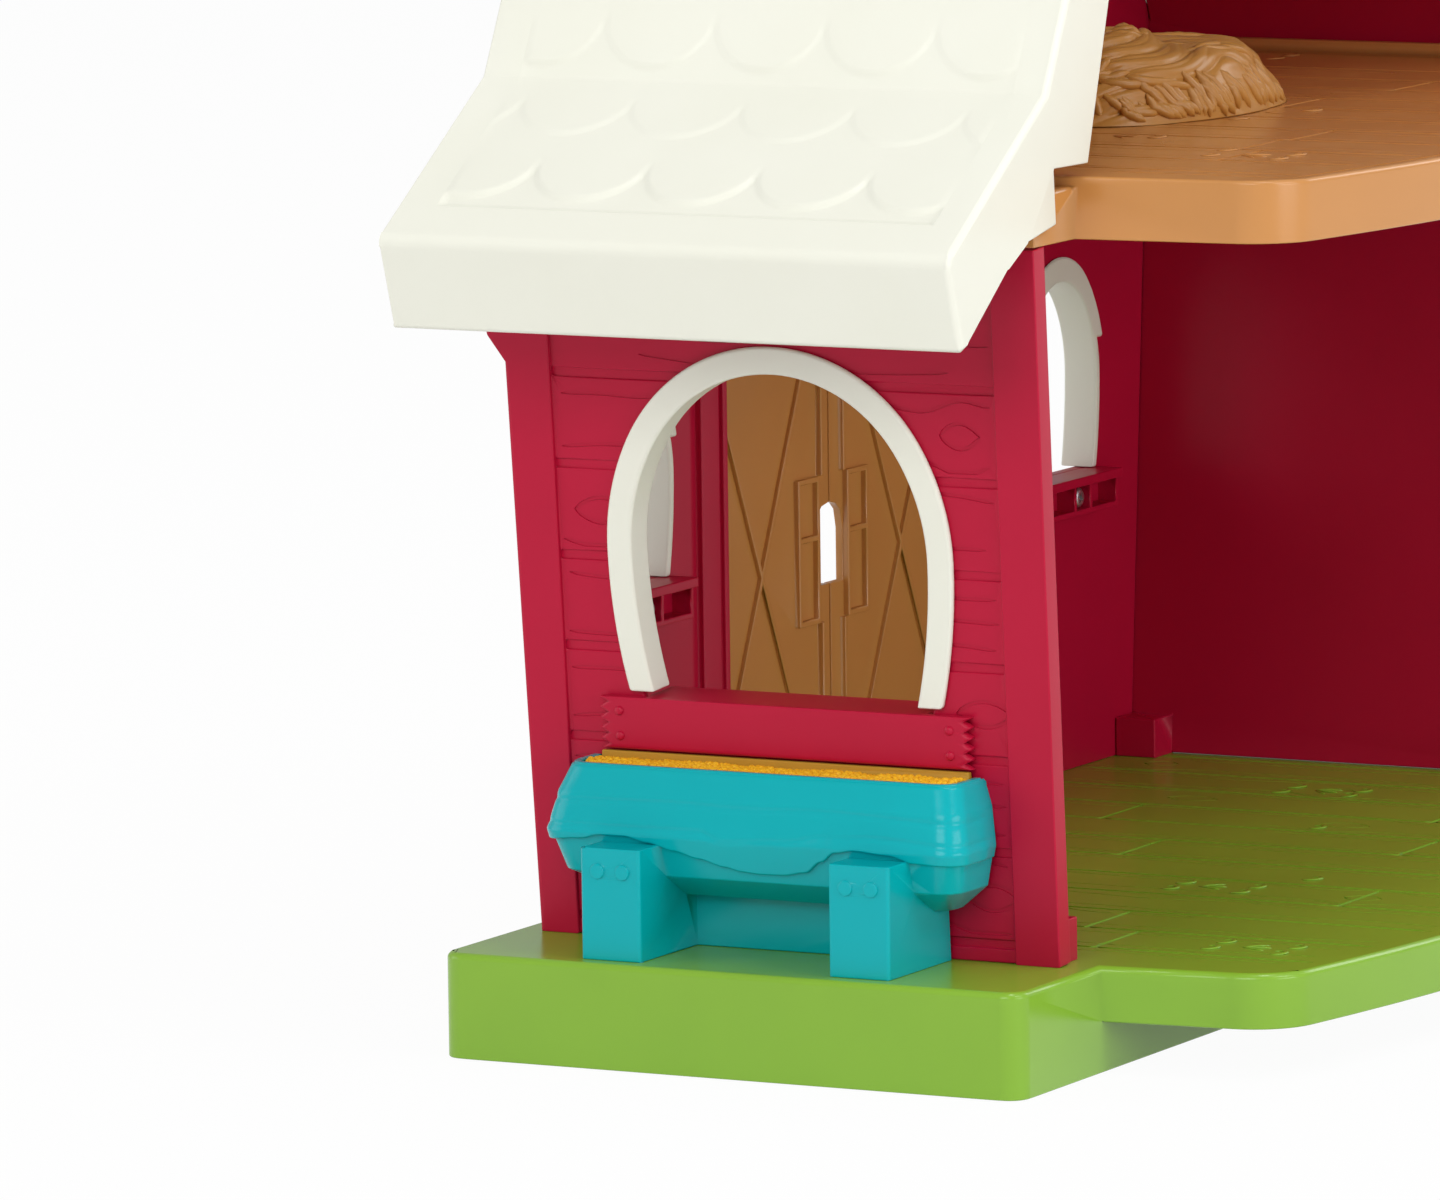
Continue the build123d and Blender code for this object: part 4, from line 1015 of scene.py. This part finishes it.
# %% Print shapes
def ridge(mesh, line, width, rise):
    """A low rounded ridge over a centre line of 2-D points in mm, closed underneath."""
    count = len(line) - 1
    around = 6                     # corners round the ridge's cross-section
    rings = []
    for i, point in enumerate(line):
        ahead = Vector(line[min(i + 1, count)]) - Vector(line[max(i - 1, 0)])
        side = Vector((-ahead.y, ahead.x)).normalized()
        swell = math.sin(math.pi * (0.06 + 0.88 * i / count)) ** 0.6
        ring = []
        for k in range(around):
            a = math.pi * k / (around - 1)
            place = Vector(point) + side * math.cos(a) * width / 2 * swell
            ring.append(mesh.verts.new(Vector((place.x, place.y, math.sin(a) * rise * swell)) * MM))
        rings.append(ring)
    for low, high in zip(rings, rings[1:]):
        for k in range(around):
            n = (k + 1) % around
            mesh.faces.new((low[k], low[n], high[n], high[k]))
    mesh.faces.new(rings[0][::-1])
    mesh.faces.new(rings[-1])


def print_shape(name, lines, width, rise):
    mesh = bmesh.new()
    for line in lines:
        ridge(mesh, line, width, rise)
    bmesh.ops.recalc_face_normals(mesh, faces=mesh.faces)
    return mesh_data(name, mesh)


def hoof_shape():
    angles = [math.radians(-40 + 260 * i / 12) for i in range(13)]
    crescent = [(2.4 * math.cos(a), 1.7 * math.sin(a)) for a in angles]
    return print_shape("hoof_shape", [crescent], 1.3, 0.38)


def bird_shape():
    toes = [[(math.sin(a) * t, math.cos(a) * t - 2.0) for t in (0.4, 2.0, 3.6, 5.2, 6.4)]
            for a in (math.radians(-32), 0.0, math.radians(32))]
    return print_shape("bird_shape", toes, 0.7, 0.3)


# %% Prints on both floors
BASE_HOOFS = [(31, 9.3), (39, 9.3), (30.3, 25.8), (38.3, 25.5), (98.8, 50.9), (107, 51),
              (99.7, 67.5), (107.9, 67), (-96, -27.5), (-104, -27.2), (-96.5, -11), (-104, -10.7),
              (-50.8, 2.5), (16.1, 32.3), (-58, 58), (-49.8, 58.2), (-57, 74.5), (-49, 74)]
BASE_BIRDS = [(34.5, 16), (104, 59), (-100, -19), (-53.5, 66)]
DECK_HOOFS = [(72.4, 39.9), (83.7, 41.3), (76.9, 57.8), (86, 58), (51.3, 13.5), (7.2, 11.7),
              (-16.6, 18.2), (-141, -45), (-133, -45), (-88, 44), (-80, 44), (-87, 60), (-79, 60)]
DECK_BIRDS = [(82, 49.5), (52, 5.5), (-83.5, 52), (-104, -52)]


def prints(name, marks, height, shape, material, seed):
    """Prints of one shape at (X, Y) marks on a floor, each turned a little at random."""
    draw = random.Random(seed)
    bedded = FLOOR + height - 0.03
    places = [(Vector((x, y, bedded)) * MM, UPWARDS, draw.uniform(-0.25, 0.25), 1.0)
              for x, y in marks]
    place_many(name, shape, material, places)


prints("green_hoof_prints", BASE_HOOFS, 0.0, hoof_shape(), green_abs, 1)
prints("green_bird_prints", BASE_BIRDS, 0.0, bird_shape(), green_abs, 2)
prints("tan_hoof_prints", DECK_HOOFS, DECK, hoof_shape(), tan_abs, 3)
prints("tan_bird_prints", DECK_BIRDS, DECK, bird_shape(), tan_abs, 4)

# %% [markdown]
# ## The feed
#
# The trough is heaped with yellow grains, moulded as one lumpy surface. Small lumpy balls are
# scattered at even spacing over a low heap, close enough to bury it, and each one is turned and
# sized at random.

# %% Feed grains
FEED_FROM, FEED_TO = 4.9, 13.4     # mm in front of the wall
FEED_ENDS = (18.0, 102.4)          # depths
FEED_HIGH, FEED_HEAP = 37.45, 1.15  # height of the heap's sides, and its middle over them


def lumpy_ball(radius):
    mesh = bmesh.new()
    bmesh.ops.create_icosphere(mesh, subdivisions=2, radius=radius * MM)
    for vert in mesh.verts:
        vert.co *= 1 + 0.22 * noise.noise(vert.co * (1.1 / (radius * MM)))
        vert.co.x *= 1.25
    return mesh_data("grain_shape", mesh)


def feed_grains():
    draw = random.Random(41)
    places = []
    x = WALL + FEED_FROM
    while x < WALL + FEED_TO:
        depth = FEED_ENDS[0]
        while depth < FEED_ENDS[1]:
            gx, gy = x + draw.uniform(-0.35, 0.35), depth + draw.uniform(-0.35, 0.35)
            across = (gx - WALL - 9.2) / 5.2
            swell = noise.noise(Vector((gx / 4, gy / 6, 0.7)))
            height = FEED_HIGH + FEED_HEAP * (1 - across ** 2) + 0.55 * swell
            aim = Vector([draw.uniform(-1, 1) for _ in range(3)]).normalized()
            places.append((spot(gx, gy, height), tuple(aim), draw.uniform(0, 6.3),
                           draw.uniform(0.75, 1.15)))
            depth += 1.0
        x += 0.95
    return places


place_many("yellow_feed_grains", lumpy_ball(0.72), yellow_feed, feed_grains())

# %% [markdown]
# ## The hay heap
#
# The hay is one tan moulding like the loft floor, combed into soft locks that run over the heap
# and fall down its steep end. A smooth heap is built first and pushed out along its normals into
# lanes of rounded ridges. Loose strands and a fringe of short stubs are then traced over it: each
# takes short steps in its own direction and is pulled back onto the heap after each one. A
# Geometry Nodes tree turns all the traced lines into tapered strands.

# %% Hay heap
# height over the deck, half the length, and X of the middle
HAY_LAYERS = [(0.0, 46.5, -6.5), (5.0, 43.2, -5.6), (10.0, 39.2, -4.0), (13.4, 35.2, -2.8),
              (14.8, 29.5, -1.0), (16.4, 16.0, 9.5), (18.8, 8.0, 13.0), (19.2, 0.4, 13.5)]
HAY_ASPECT, HAY_DEPTH = 0.55, 71.0  # front to back over left to right, and its middle's depth
HAY_UNEVEN, HAY_FLATTEN = 0.05, 0.955
HAY_SIDES, RINGS_PER_LEVEL = 330, 15
SMOOTH_PASSES = 12
COMB_SLANT = 0.45                  # a lock runs towards -X and comes this much nearer for each mm
COMB_SIZES = ((6.2, 1.6, 5.0), (2.9, 0.5, 9.0))    # mm across a lock, mm high, seed


def hay_point(angle, level):
    """A point of the heap: level counts the layers from 0 at its foot to 7 at its top."""
    i = min(int(level), len(HAY_LAYERS) - 2)
    t = level - i
    rise, long, x = [a + (b - a) * t for a, b in zip(HAY_LAYERS[i], HAY_LAYERS[i + 1])]
    dent = noise.noise(Vector((math.cos(angle) * 2, math.sin(angle) * 2, level)))
    swell = 1 - HAY_UNEVEN * (0.5 + dent)
    return spot(x + long * math.cos(angle) * swell,
                HAY_DEPTH + HAY_ASPECT * long * math.sin(angle) * swell,
                DECK + rise * HAY_FLATTEN)


def comb_height(place):
    """How far the combed locks stand off the smooth heap at a place, in mm."""
    x, y, z = place / MM
    z -= FLOOR + DECK
    across = COMB_SLANT * x + y - 1.1 * z * smooth((x + 10) / 30)
    across += 6 * noise.noise(Vector((x / 55, y / 34, 2.0)))
    height = 1.6 * noise.noise(Vector((across / 13, x / 60, z / 40)))
    for wide, rise, seed in COMB_SIZES:
        lane = across / wide + 0.45 * noise.noise(Vector((x / 27, y / 22, seed)))
        off_crest = 2 * (lane % 1.0) - 1
        strength = 0.6 + 0.5 * noise.noise(Vector((math.floor(lane) * 7.3, x / 40, seed)))
        height += rise * strength * math.sqrt(1 - off_crest ** 2)
    return (height - 0.9) * (0.35 + 0.65 * smooth(z / 3.5))


def hay_heap():
    """The combed heap. Its lowest ring stays on the deck."""
    mesh = bmesh.new()
    rings = []
    for k in range((len(HAY_LAYERS) - 1) * RINGS_PER_LEVEL + 1):
        rings.append([mesh.verts.new(hay_point(a, k / RINGS_PER_LEVEL))
                      for a in steps_round(HAY_SIDES)])
    for low, high in zip(rings, rings[1:]):
        for i in range(HAY_SIDES):
            j = (i + 1) % HAY_SIDES
            mesh.faces.new((low[i], low[j], high[j], high[i]))
    mesh.faces.new(rings[0][::-1])
    mesh.faces.new(rings[-1])
    upper = [v for ring in rings[1:] for v in ring]
    foot, foot_ring = (FLOOR + DECK) * MM, set(rings[0])
    for _ in range(SMOOTH_PASSES):
        bmesh.ops.smooth_vert(mesh, verts=upper, factor=0.5,
                              use_axis_x=True, use_axis_y=True, use_axis_z=True)
    mesh.normal_update()
    for vert, normal in [(vert, vert.normal.copy()) for vert in mesh.verts]:
        vert.co += normal * comb_height(vert.co) * MM
        vert.co.z = foot if vert in foot_ring else max(foot, vert.co.z)
    mesh.normal_update()
    return mesh


heap = hay_heap()
heap_tree = BVHTree.FromBMesh(heap)
heap_data = mesh_data("hay_heap", heap)
finished(as_object("hay_heap", heap_data, hay_abs), node="hay_mound")
print("the heap has", len(heap_data.polygons), "faces")

# %% Hay strands
STRAND_STEP, STRAND_RADIUS = 1.6, 1.15      # mm
FEWEST_POINTS = 4                  # a line with fewer points is left out
LOCKS, STUBS = 10, 90


def comb_strand(place, normal, way, steps, lift):
    """A line of points that follows the heap's surface from a place, in about one direction."""
    line = []
    for _ in range(steps):
        line.append(place + normal * lift * MM)
        way = (way - normal * way.dot(normal)).normalized()
        way = (way + normal.cross(way) * 0.1 * noise.noise(place / (22 * MM))).normalized()
        place, normal, _, _ = heap_tree.find_nearest(place + way * STRAND_STEP * MM)
    return [point for point in line if point.z > (FLOOR + DECK + 0.5) * MM]


def lock(draw):
    """A loose strand that lies over the combed locks and runs with them."""
    angle, level = draw.uniform(0, 2 * math.pi), 1 + 5.5 * draw.random() ** 0.75
    place, normal, _, _ = heap_tree.find_nearest(hay_point(angle, level))
    way = Vector((-1.0, COMB_SLANT + draw.uniform(-0.25, 0.25), -0.2))
    return comb_strand(place, normal, way, draw.randint(9, 18), draw.uniform(-0.9, -0.4))


def stub(draw):
    """A short thick strand that stands in the fringe round the heap's foot."""
    angle, level = draw.uniform(0.0, 0.72) * math.pi, draw.uniform(0.9, 2.3)
    place, normal, _, _ = heap_tree.find_nearest(hay_point(angle, level))
    way = Vector((draw.uniform(-0.75, -0.15), 0.3, -1.0))
    return comb_strand(place, normal, way, draw.randint(7, 10), draw.uniform(-0.5, 0.2))


def strand_tree():
    """Tubes along lines, thinner at both ends."""
    tree, given, keys = open_tree("lines_to_strands", (
        ("Lines", "Geometry"), ("Strand Radius", "Float"), ("Finish", "Material")))
    curves = add(tree, "GeometryNodeMeshToCurve", {"Mesh": given["Lines"]})
    along = add(tree, "GeometryNodeSplineParameter")
    taper = add(tree, "ShaderNodeFloatCurve", {"Value": along.outputs["Factor"]})
    points = taper.mapping.curves[0].points
    points[0].location = (0.0, 0.25)
    points[1].location = (1.0, 0.2)
    points.new(0.25, 0.95)
    points.new(0.7, 1.0)
    taper.mapping.update()
    radius = add(tree, "ShaderNodeMath", {0: taper.outputs["Value"], 1: given["Strand Radius"]},
                 operation="MULTIPLY")
    ring = add(tree, "GeometryNodeCurvePrimitiveCircle", {"Resolution": 8, "Radius": 1.0})
    tubes = add(tree, "GeometryNodeCurveToMesh",
                {"Curve": curves.outputs["Curve"], "Profile Curve": ring.outputs["Curve"],
                 "Scale": radius.outputs["Value"], "Fill Caps": True})
    close_tree(tree, given, tubes.outputs["Mesh"])
    return tree, keys


def hay_strands():
    draw = random.Random(51)
    verts, edges = [], []
    for number in range(LOCKS + STUBS):
        line = lock(draw) if number < LOCKS else stub(draw)
        if len(line) < FEWEST_POINTS:
            continue
        first = len(verts)
        edges += [(i, i + 1) for i in range(first, first + len(line) - 1)]
        verts += line
    data = bpy.data.meshes.new("hay_lines")
    data.from_pydata(verts, edges, [])
    values = {"Strand Radius": STRAND_RADIUS * MM, "Finish": hay_abs}
    faces = grown("hay_strands", data, hay_abs, strand_tree(), values)
    print("hay has up to", LOCKS + STUBS, "strands and", faces, "faces")


hay_strands()

# %% [markdown]
# ## The trough's bark
#
# The trough is a half log. Its front has a sheet of bark with a wavy lower edge that stands out
# over the belly, and two faint growth lines. The bark is a grid that follows the log's own
# sections and stands off them: most along its lower edge, and hardly at all at the rim.

# %% Bark sheet
# how far the log stands out from the wall, its two ends' depths, and the height
SECTIONS = [(16.8, 13.6, 105.6, 16.5), (19.6, 11.4, 107.4, 25.0), (18.2, 12.8, 106.6, 33.0),
            (15.7, 15.2, 105.0, 39.0)]
BARK_EDGE = [(8, 23.0), (20.4, 24.2), (25.8, 25.2), (31.4, 25.2), (36.3, 24.1), (41.9, 22.7),
             (47.5, 21.3), (53.1, 19.9), (57.3, 19.1), (61.4, 18.8), (67.0, 18.9), (72.6, 19.8),
             (76.5, 22.4), (79.6, 24.6), (84, 25.3), (92.0, 24.8), (98, 23.4), (112, 22.8)]
GROWTH_LINES = [[(8, 31.2), (22, 31.8), (43, 32.0), (57, 31.6), (77, 32.2), (112, 31.0)],
                [(48, 26.6), (53.3, 24.9), (67.3, 25.6), (77.7, 27.2), (88, 27.6), (112, 26.4)]]
LOG_CORNER, LOG_BACK = 5.0, 1.5    # mm, the ends' corner radius, and the gap to the wall
BARK_TOP = 38.7                    # height of the bark's upper edge
BARK_COLUMNS, BARK_ROWS = 260, 44
# three rows tuck the lower edge under: a factor on how far it stands off, and a drop in mm
TUCKS = ((0.93, 0.22), (0.55, 0.42), (-0.3, 0.42))


def along_line(line, at):
    """A smooth value between (place, value) pairs."""
    for (a, va), (b, vb) in zip(line, line[1:]):
        if at <= b:
            return va + (vb - va) * smooth((at - a) / (b - a))
    return line[-1][1]


def log_section(height):
    """The log's reach and its ends' depths at a height."""
    for a, b in zip(SECTIONS, SECTIONS[1:]):
        if height <= b[3]:
            t = (height - a[3]) / (b[3] - a[3])
            return [p + (q - p) * t for p, q in zip(a[:3], b[:3])]
    return SECTIONS[-1][:3]


def log_surface(share, height):
    """A point on the log's outside and its outward normal: share runs from end to end."""
    reach, low, high = log_section(height)
    corner = LOG_CORNER
    side, turn_long = reach - corner - LOG_BACK, corner * math.pi / 2
    front = high - low - 2 * corner
    at = share * (2 * side + 2 * turn_long + front)
    if at < side:
        return (LOG_BACK + at, low), (0, -1)
    at -= side
    if at < turn_long:
        sine, cosine = math.sin(at / corner), math.cos(at / corner)
        return (reach - corner + corner * sine, low + corner * (1 - cosine)), (sine, -cosine)
    at -= turn_long
    if at < front:
        return (reach, low + corner + at), (1, 0)
    at -= front
    if at < turn_long:
        sine, cosine = math.sin(at / corner), math.cos(at / corner)
        return (reach - corner * (1 - cosine), high - corner + corner * sine), (cosine, sine)
    return (reach - corner - (at - turn_long), high), (0, 1)


def bark_sheet():
    mesh = bmesh.new()
    grid = []
    for i in range(BARK_COLUMNS + 1):
        share = i / BARK_COLUMNS
        fade = smooth(share / 0.05) * smooth((1 - share) / 0.05)
        column = []
        (_, guess), _ = log_surface(share, 24)
        edge = along_line(BARK_EDGE, guess)
        for k in range(-len(TUCKS), BARK_ROWS + 1):
            t = max(0, k) / BARK_ROWS
            height = edge + (BARK_TOP - edge) * t
            (reach, depth), (nx, ny) = log_surface(share, height)
            lump = noise.noise(Vector((depth / 18, height / 5, share * 3))) * 0.12
            off = 0.22 + (0.85 * (1 - t) ** 2.2 + lump * smooth(t * 4)) * fade
            for line in GROWTH_LINES:
                gap = height - along_line(line, guess)
                off -= 0.2 * math.exp(-(gap / 0.55) ** 2) * fade
            if k < 0:
                factor, drop = TUCKS[-k - 1]
                off *= factor
                height -= drop
            if k == BARK_ROWS:
                off = -0.1
            column.append(mesh.verts.new(spot(WALL + reach + nx * off, depth + ny * off, height)))
        grid.append(column)
    for left, right in zip(grid, grid[1:]):
        for a, b, c, d in zip(left, right, right[1:], left[1:]):
            mesh.faces.new((a, b, c, d))
    return mesh


bark = bark_sheet()
bark_faces = len(bark.faces)
finished(as_object("teal_bark", mesh_data("teal_bark", bark), teal_abs))
print("bark sheet has", bark_faces, "faces")

# %% [markdown]
# ## Stage and light
#
# The photograph is a studio shot on white, lit very softly from the camera's side. The floor is
# pale and matte. The camera and the reflections see it almost pure white, with just enough of its
# matte side mixed in for a faint shadow. The world is plain white to the camera, and half as
# bright where it lights the barn. Six softboxes do the rest.

# %% Floor and world
FLOOR_PALE, FLOOR_WHITE = 0.82, 0.96        # its matte tone, and how white it looks
FLOOR_DROP = 0.0002                         # metres under the barn's feet
SKY_LIGHT, SKY_SEEN = 0.5, 1.0


def either(tree, one, other):
    """1 where one of two kinds of ray arrives."""
    path = add(tree, "ShaderNodeLightPath").outputs
    return add(tree, "ShaderNodeMath", {0: path[one], 1: path[other]}, operation="MAXIMUM")


def pale_floor():
    material = bpy.data.materials.new("studio_floor")
    tree = emptied(material)
    seen = either(tree, "Is Camera Ray", "Is Glossy Ray")
    matte = add(tree, "ShaderNodeBsdfDiffuse",
                {"Color": (FLOOR_PALE, FLOOR_PALE, FLOOR_PALE, 1.0)})
    white = add(tree, "ShaderNodeEmission", {"Color": (1.0, 1.0, 1.0, 1.0), "Strength": 1.0})
    share = add(tree, "ShaderNodeMath", {0: seen.outputs["Value"], 1: FLOOR_WHITE},
                operation="MULTIPLY")
    mixed = add(tree, "ShaderNodeMixShader",
                {"Fac": share.outputs["Value"], 1: matte.outputs["BSDF"],
                 2: white.outputs["Emission"]})
    add(tree, "ShaderNodeOutputMaterial", {"Surface": mixed.outputs["Shader"]})
    return material


floor_mesh = bpy.data.meshes.new("studio_floor")
floor_mesh.from_pydata([(-6, -6, 0), (6, -6, 0), (6, 6, 0), (-6, 6, 0)], [], [(0, 1, 2, 3)])
floor = as_object("studio_floor", floor_mesh, pale_floor())
floor.location.z = -FLOOR_DROP

world = bpy.data.worlds.new("studio")
bpy.context.scene.world = world
sky_tree = emptied(world)
seen = either(sky_tree, "Is Camera Ray", "Is Transmission Ray")
glow = add(sky_tree, "ShaderNodeMix",
           {"Factor": seen.outputs["Value"], "A": SKY_LIGHT, "B": SKY_SEEN}, data_type="FLOAT")
sky = add(sky_tree, "ShaderNodeBackground",
          {"Color": (1.0, 1.0, 1.0, 1.0), "Strength": glow.outputs["Result"]})
add(sky_tree, "ShaderNodeOutputWorld", {"Surface": sky.outputs["Background"]})
print("world is", world.name)

# %% Softboxes
# name, place and height of its aim in metres, size in metres, power in watts
SOFTBOXES = [
    ("key_softbox", (2.1, 0.3, 1.05), 0.15, (1.2, 1.0), 15.0),
    ("fill_softbox", (0.5, 2.2, 0.5), 0.15, (1.4, 0.8), 14.0),
    ("top_softbox", (0.2, 1.4, 1.6), 0.2, (0.9, 0.5), 8.0),
    ("zenith_softbox", (0.25, 0.45, 2.0), 0.2, (0.5, 0.5), 5.0),
    ("bounce_softbox", (0.9, -1.7, 0.6), 0.2, (1.6, 1.0), 8.0),
    ("rim_softbox", (-1.5, 0.8, 1.1), 0.2, (0.6, 0.6), 4.0),
]
for name, place, aim_height, size, power in SOFTBOXES:
    lamp = bpy.data.lights.new(name, "AREA")
    lamp.shape = "RECTANGLE"
    lamp.size, lamp.size_y = size
    lamp.energy = power
    box = in_scene(name, lamp)
    box.location = place
    aim = Vector((0.0, 0.0, aim_height)) - Vector(place)
    box.rotation_euler = aim.to_track_quat("-Z", "Y").to_euler()
bpy.context.scene.view_settings.view_transform = "Standard"
print("stage is set")

# %% [markdown]
# ## Finish
#
# The scene is brought up to date.

# %% Finish
bpy.context.view_layer.update()
